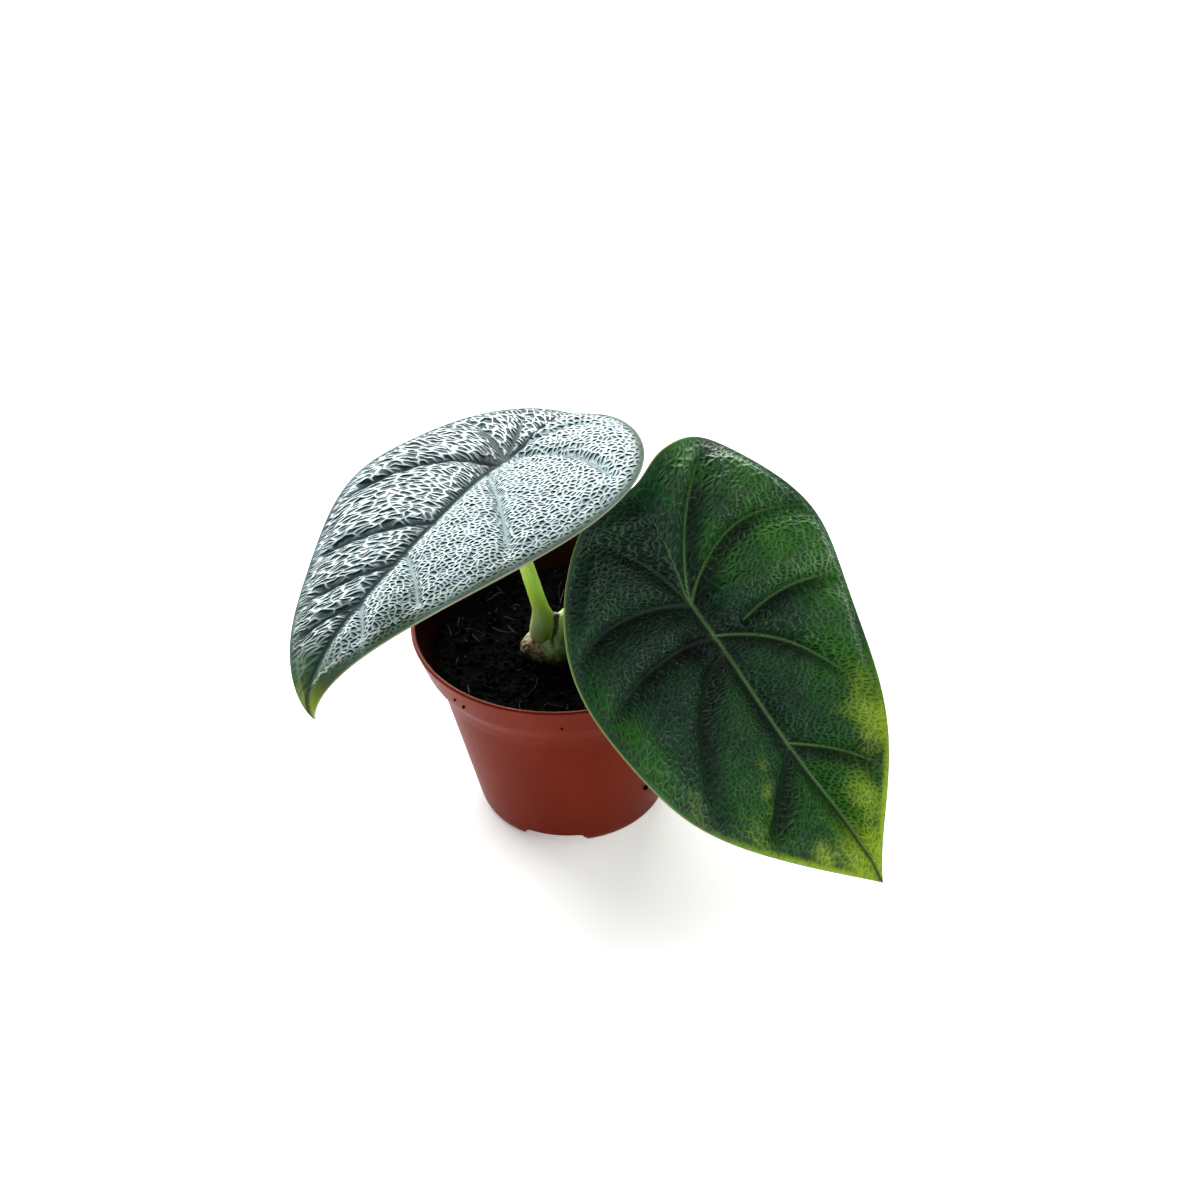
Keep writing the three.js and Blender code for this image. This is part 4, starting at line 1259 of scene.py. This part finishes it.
def lump_shape(random):
    """A rough rounded crumb of unit size."""
    shape = bmesh.new()
    bmesh.ops.create_icosphere(shape, subdivisions=1, radius=1)
    stretch = np.array([0.7 + 0.6 * random(), 0.6 + 0.5 * random(), 0.5 + 0.4 * random()])
    points = np.array([v.co for v in shape.verts])
    faces = [[v.index for v in f.verts] for f in shape.faces]
    shape.free()
    points = points * (0.78 + 0.44 * np.array([random() for _ in points]))[:, None] * stretch
    turn = (Matrix.Rotation(6.28 * random(), 3, "X") @ Matrix.Rotation(6.28 * random(), 3, "Z"))
    return points @ np.array(turn).T, faces


class Heap:
    """Many small shapes gathered in one piece, each with a tone of its own."""

    def __init__(self):
        self.points, self.faces, self.tones = [], [], []

    def add(self, points, faces, tone):
        start = len(self.points)
        self.points.extend(np.asarray(points).tolist())
        self.faces.extend([[i + start for i in face] for face in faces])
        self.tones.extend([tone] * len(points))

    def make(self, name, material):
        piece = declare(add_mesh(name, self.points, self.faces, [material]), "soil")
        add_attribute(piece, "shade", self.tones)
        return piece


def in_corm(x, y, extra):
    return np.hypot(x - CORM_CENTRE[0], y - CORM_CENTRE[1]) < 5.4 + extra


def make_crumbs(material):
    random = Random(77)
    heap = Heap()
    count = 0
    while count < CRUMBS:
        x, y = random.place(25.6)
        size = 0.22 + 0.75 * random() ** 3
        tone = random()
        shape, faces = lump_shape(random)
        if in_corm(x, y, -0.6 + size):
            continue
        z = soil_top(np.array([x]), np.array([y]))[0] + 0.25 * size
        heap.add(shape * size + np.array([x, y, z]), faces, tone)
        count += 1
    return heap.make("soil_crumbs", material)


def make_specks(material):
    """Crumbs of soil that stick to the outside of the pot."""
    random = Random(9)
    heap = Heap()
    for degrees, z, size in SPECKS:
        shape, faces = lump_shape(random)
        centre = ring(wall_radius(z) + 0.1, np.radians([degrees]), z)
        heap.add(shape * size + centre, faces, random() * 0.5)
    return heap.make("soil_specks", material)


def make_fibres(material):
    random = Random(303)
    heap = Heap()
    count = 0
    while count < FIBRES:
        x, y = random.place(23.5)
        heading, bend = 6.28 * random(), 2.4 * (random() - 0.5)
        reach, thick, tone = 1.2 + 4.2 * random(), 0.06 + 0.09 * random(), random()
        if in_corm(x, y, 1.0):
            continue
        turned = heading + bend * np.arange(6) / 6
        x = x + np.concatenate([[0], np.cumsum(reach / 6 * np.cos(turned))])
        y = y + np.concatenate([[0], np.cumsum(reach / 6 * np.sin(turned))])
        if np.hypot(x, y).max() > 25.2 or in_corm(x, y, 0.3).any():
            continue
        z = soil_top(x, y)
        z = np.maximum(z, np.convolve(np.pad(z, 2, "edge"), np.ones(5) / 5, "valid")) + 0.22
        line = spline(np.column_stack([x, y, z]), 14)

        def radius_at(share, angles):
            return np.full(angles.shape, thick * (1 - 0.6 * abs(2 * share - 1) ** 3))

        rings = tube_rings(line, radius_at, 6, (0, 0, 1))
        heap.add(*ring_body(line[0], rings, line[-1]), tone)
        count += 1
    return heap.make("soil_fibres", material)


def soil_material():
    sh = Shader("soil_peat")
    place = sh.place()
    small = sh.noise(place, 1500, 5, 0.7)
    # Near black, darker than the peat itself: the soil is painted with the shade that lies inside the
    # pot.
    sh.colour = sh.blend(sh.noise(place, 320, 4, 0.6).band(0.3, 0.7), (1, 1, 1), (5, 4, 3))
    sh.coat(small.band(0.66, 0.78), (20, 15, 11))
    return sh.finished(roughness=small.band(0.2, 0.8, 0.85, 1), specular_ior_level=0.03,
                       normal=sh.bump(small, 0.8, 0.0004))


def crumb_material():
    sh = Shader("soil_crumb")
    shade = sh.attribute("shade")
    small = sh.noise(sh.place(), 1800, 4, 0.65)
    # Near black like the soil bed, as painted shade.
    sh.colour = sh.blend(shade.band(0.6, 0.97), (1, 1, 1), (13, 10, 7))
    sh.coat(shade.band(0.97, 0.99), (70, 62, 48))
    sh.coat(small.band(0.35, 0.75), sh.blend(0.5, sh.colour, (0, 0, 0)))
    return sh.finished(roughness=small.band(0.2, 0.8, 0.85, 1), specular_ior_level=0.03,
                       normal=sh.bump(small, 0.7, 0.0003))


def fibre_material():
    sh = Shader("soil_fibre")
    small = sh.noise(sh.place(), 1400, 3, 0.6)
    sh.colour = sh.blend(sh.attribute("shade").band(0.2, 0.95), (10, 8, 5), (42, 35, 25))
    sh.coat(small.band(0.3, 0.7, 0, 0.6), (30, 22, 15))
    return sh.finished(roughness=small.band(0.2, 0.8, 0.7, 0.9))


# Pot

def wall_radius(z):
    """Outer radius of the pot's wall and collar at a height."""
    return np.interp(z, [WALL_START, COLLAR_HEIGHT - 0.5, COLLAR_HEIGHT + 0.4, POT_HEIGHT],
                     [BASE_RADIUS, WALL_TOP_RADIUS, COLLAR_RADIUS, RIM_RADIUS])


def rounded(profile, reach):
    """The profile with each corner cut by a small curve."""
    profile = [np.array(point, float) for point in profile]
    points = [profile[0]]
    for before, here, after in zip(profile, profile[1:], profile[2:]):
        cuts = []
        for other in (before, after):
            away = np.linalg.norm(other - here)
            cuts.append(here + (other - here) / away * min(reach, 0.45 * away))
        points.extend(bezier(cuts[0], here, cuts[1], t) for t in (0, 0.33, 0.67, 1))
    return np.array([*points, profile[-1]])


def pot_profile():
    """Half section of the pot: foot, outside, rim, inside and the floor's top."""
    inner = RIM_RADIUS - WALL - 0.2
    foot = [(0.6, FOOT_HEIGHT), (FOOT_RADIUS - FOOT_WIDTH - 0.3, FOOT_HEIGHT),
            (FOOT_RADIUS - FOOT_WIDTH, 0), (FOOT_RADIUS, 0), (BASE_RADIUS - 0.5, 0.6),
            (BASE_RADIUS, WALL_START)]
    wall = [(mix(BASE_RADIUS, WALL_TOP_RADIUS, t), mix(WALL_START, COLLAR_HEIGHT - 0.5, t))
            for t in (0.1, 0.3, 0.5, 0.7, 0.88)]
    collar = [(WALL_TOP_RADIUS + 0.05, COLLAR_HEIGHT - 1.6),
              (WALL_TOP_RADIUS + 0.45, COLLAR_HEIGHT - 0.7),
              (COLLAR_RADIUS - 0.7, COLLAR_HEIGHT + 0.1),
              (COLLAR_RADIUS - 0.1, COLLAR_HEIGHT + 0.9),
              (COLLAR_RADIUS + 0.55, COLLAR_HEIGHT + 2.2)]
    rim = [(RIM_RADIUS - 0.1, POT_HEIGHT - 0.6), (RIM_RADIUS, POT_HEIGHT - 0.3),
           (RIM_RADIUS - 0.15, POT_HEIGHT - 0.05), (RIM_RADIUS - 0.5, POT_HEIGHT),
           (inner + 0.15, POT_HEIGHT - 0.1), (inner - 0.1, POT_HEIGHT - 0.5)]
    inside = [(COLLAR_RADIUS - WALL, COLLAR_HEIGHT + 0.9),
              (WALL_TOP_RADIUS - WALL, COLLAR_HEIGHT - 0.6),
              (BASE_RADIUS - WALL - 0.1, FLOOR_TOP + 0.6), (BASE_RADIUS - WALL - 0.6, FLOOR_TOP),
              (0.6, FLOOR_TOP)]
    return rounded(foot + wall + collar + rim + inside, 0.4)


def drill(piece):
    """Cuts the drain holes through the pot's floor."""
    holes = []
    for i in range(DRAIN_HOLES):
        angle = (i + 0.5) * 2 * math.pi / DRAIN_HOLES
        centre = (DRAIN_REACH * math.cos(angle), DRAIN_REACH * math.sin(angle))
        rings = [ring(DRAIN_RADIUS, round_angles(32), z, centre) for z in (-2, 5)]
        hole = add_mesh(f"hole_{i}", *ring_body((*centre, -2), rings, (*centre, 5)))
        cut = piece.modifiers.new(hole.name, "BOOLEAN")
        cut.operation = "DIFFERENCE"
        cut.solver = "EXACT"
        cut.object = hole
        holes.append(hole)
    graph = bpy.context.evaluated_depsgraph_get()
    cut_mesh = bpy.data.meshes.new_from_object(piece.evaluated_get(graph))
    piece.modifiers.clear()
    piece.data = cut_mesh
    for hole in holes:
        bpy.data.objects.remove(hole)


def make_pot(material):
    angles = round_angles(192)
    notch = np.zeros(angles.size)
    for degrees in NOTCH_ANGLES:
        off = (angles - math.radians(degrees) + np.pi) % (2 * np.pi) - np.pi
        half = NOTCH_WIDTH / 2
        notch = np.maximum(notch, 1 - smooth(half - 1.2, half + 0.6, np.abs(off) * FOOT_RADIUS))
    rings = []
    for radius, z in pot_profile():
        in_foot = radius > FOOT_RADIUS - FOOT_WIDTH - 0.4 and z < FOOT_HEIGHT
        rings.append(ring(radius, angles, np.maximum(z, FOOT_HEIGHT * notch) if in_foot else z))
    points, faces = ring_body((0, 0, FOOT_HEIGHT), rings, (0, 0, FLOOR_TOP))
    piece = add_mesh("pot_shell", points, faces, [material])
    drill(piece)
    piece.data.name = "pot_shell"
    piece.data.polygons.foreach_set("use_smooth", [True] * len(piece.data.polygons))
    piece.data.set_sharp_from_angle(angle=math.radians(38))
    places = (np.array([v.co for v in piece.data.vertices]) - AXIS) / MM
    radius, z = np.hypot(places[:, 0], places[:, 1]), places[:, 2]
    # Marks the inside of the wall below the rim lip, which the material paints near black as painted
    # shade.
    add_attribute(piece, "inner", (radius < wall_radius(z) - 0.6) * smooth(3, 5, z)
                  * (1 - smooth(POT_HEIGHT - 0.3, POT_HEIGHT - 0.02, z)))
    return declare(piece, "pot_plastic", "pot")


def pot_material():
    sh = Shader("pot_plastic_skin")
    place = sh.place()
    small = sh.noise(place, 1100, 4, 0.6)
    broad = sh.noise(sh.scaled(place, (1, 1, 0.35)), 55, 3, 0.55)
    sh.colour = sh.blend(broad.band(0.3, 0.7), (112, 32, 12), (124, 39, 17))
    dust = sh.noise(place, 240, 5, 0.7).band(0.56, 0.8)
    sh.coat(dust * 0.1, (168, 100, 78))
    # Patchy darkening over the collar, stronger toward the rim.
    collar_dark = sh.noise(place, 130, 5, 0.7).band(0.54, 0.74) * sh.part(place, "Z").band(0.030, 0.043)
    sh.coat(collar_dark * 0.5, (58, 30, 22))
    # The inside of the wall is painted near black: painted shade inside the pot.
    sh.coat(sh.attribute("inner") * 0.93, (10, 7, 6))
    flow = sh.noise(sh.scaled(place, (1, 1, 0.05)), 260, 2, 0.5)
    return sh.finished(
        roughness=(small * 0.5 + dust * 0.5).band(0.15, 0.8, 0.36, 0.55), specular_ior_level=0.04,
        normal=sh.bump(small * 0.5 + flow * 0.6, 0.22, 0.0002))


# Studio

def add_camera():
    data = bpy.data.cameras.new("camera")
    data.lens = LENS
    data.sensor_width = SENSOR
    data.clip_start = 0.01
    data.clip_end = 50
    down, roll = math.radians(LOOK_DOWN), math.radians(ROLL)
    right = Vector((1, 0, 0))
    up = Vector((0, math.sin(down), math.cos(down)))
    back = Vector((0, -math.cos(down), math.sin(down)))
    x_axis = right * math.cos(roll) + up * math.sin(roll)
    y_axis = up * math.cos(roll) - right * math.sin(roll)
    turn = Matrix((x_axis, y_axis, back)).transposed().to_4x4()
    camera = add_object("camera", data)
    camera.matrix_world = Matrix.Translation(Vector(EYE) * MM + Vector(AXIS)) @ turn
    bpy.context.scene.camera = camera


def add_area(name, place, target, size, power):
    data = bpy.data.lights.new(name, "AREA")
    data.shape = "RECTANGLE"
    data.size, data.size_y = size
    data.energy = power
    lamp = add_object(name, data)
    lamp.location = place
    lamp.visible_camera = False
    lamp.rotation_euler = (Vector(target) - Vector(place)).to_track_quat("-Z", "Y").to_euler()


def paper(name, low, high, glow_at=None):
    """White paper with a faint grain. It glows, so that it stays white where little light falls."""
    sh = Shader(name)
    place = sh.place()
    grain = sh.noise(place, 40, 3, 0.5)
    sh.colour = sh.blend(grain.band(0.3, 0.7), (low, low, low, 1), (high, high, high, 1))
    return sh.finished(roughness=0.9, specular_ior_level=0.1, emission_color=(1, 1, 1, 1),
                       emission_strength=glow_at(sh, place) if glow_at else 0.95)


def add_floor(reach):
    """The floor glows so that it stays white, more so far off; around the pot its glow is dimmed as a
    painted shadow, darkest by the pot's left side.
    """

    def glow_at(sh, place):
        middle = tuple(AXIS + np.array([-0.025, 0.006, 0.0]))
        far = sh.vector("DISTANCE", place, middle, output="Value")
        # The glow rises far off, and dips near the pot as a painted shadow.
        return far.band(0.55, 1.6, 0.55, 1) - far.band(0.008, 0.042, 0.46, 0)

    corners = [(-reach, -reach, 0), (reach, -reach, 0), (reach, reach, 0), (-reach, reach, 0)]
    material = paper("floor_paper", 0.86, 0.88, glow_at)
    add_mesh("floor", corners, [(0, 1, 2, 3)], [material], smooth_faces=False)


def add_backdrop(radius, height):
    """A white paper wall around the floor. It closes the low views and adds no light."""
    count = 96
    points = np.vstack([ring(radius, round_angles(count), z) for z in (0, height)])
    faces = [(k, count + k, count + (k + 1) % count, (k + 1) % count) for k in range(count)]
    material = paper("backdrop_paper", 0.9, 0.92)
    wall = add_mesh("backdrop", points, faces, [material], smooth_faces=False)
    wall.visible_diffuse = False
    wall.visible_glossy = False
    wall.visible_transmission = False
    wall.visible_shadow = False


def add_world():
    world = bpy.data.worlds.new("studio")
    world.use_nodes = True
    background = world.node_tree.nodes["Background"]
    background.inputs["Color"].default_value = (0.93, 0.96, 1.0, 1)
    background.inputs["Strength"].default_value = 0.22
    bpy.context.scene.world = world
    bpy.context.scene.view_settings.view_transform = "Standard"
    bpy.context.scene.view_settings.look = "None"


add_camera()
add_floor(4000)
add_backdrop(3900, 3000)
add_world()
add_area("back_light", (-0.3, 1.2, 0.5), (0, 0, 0.06), (1.8, 0.85), 46)
add_area("top_light", (-0.35, 0.15, 1.35), (0, 0, 0), (1.1, 1.1), 14)

make_blade(LEFT_LEAF, "blade_left", "leaf_left", "blade_silver",
           [blade_upper_material("blade_silver_top", SILVER_LOOK),
            blade_lower_material("blade_silver_under", SILVER_LOOK)])
make_blade(RIGHT_LEAF, "blade_right", "leaf_right", "blade_green",
           [blade_upper_material("blade_green_top", GREEN_LOOK),
            blade_lower_material("blade_green_under", GREEN_LOOK)])
stalk_skin = stalk_material()
make_stalk("stalk_left", "petiole_left", LEFT_STALK, LEFT_LEAF, 1.2, 1, stalk_skin, RIGHT_STALK)
make_stalk("stalk_right", "petiole_right", RIGHT_STALK, RIGHT_LEAF, 1.3, 4, stalk_skin, LEFT_STALK)
make_corm(corm_material())
make_soil(soil_material())
crumb_skin = crumb_material()
make_crumbs(crumb_skin)
make_specks(crumb_skin)
make_fibres(fibre_material())
make_pot(pot_material())
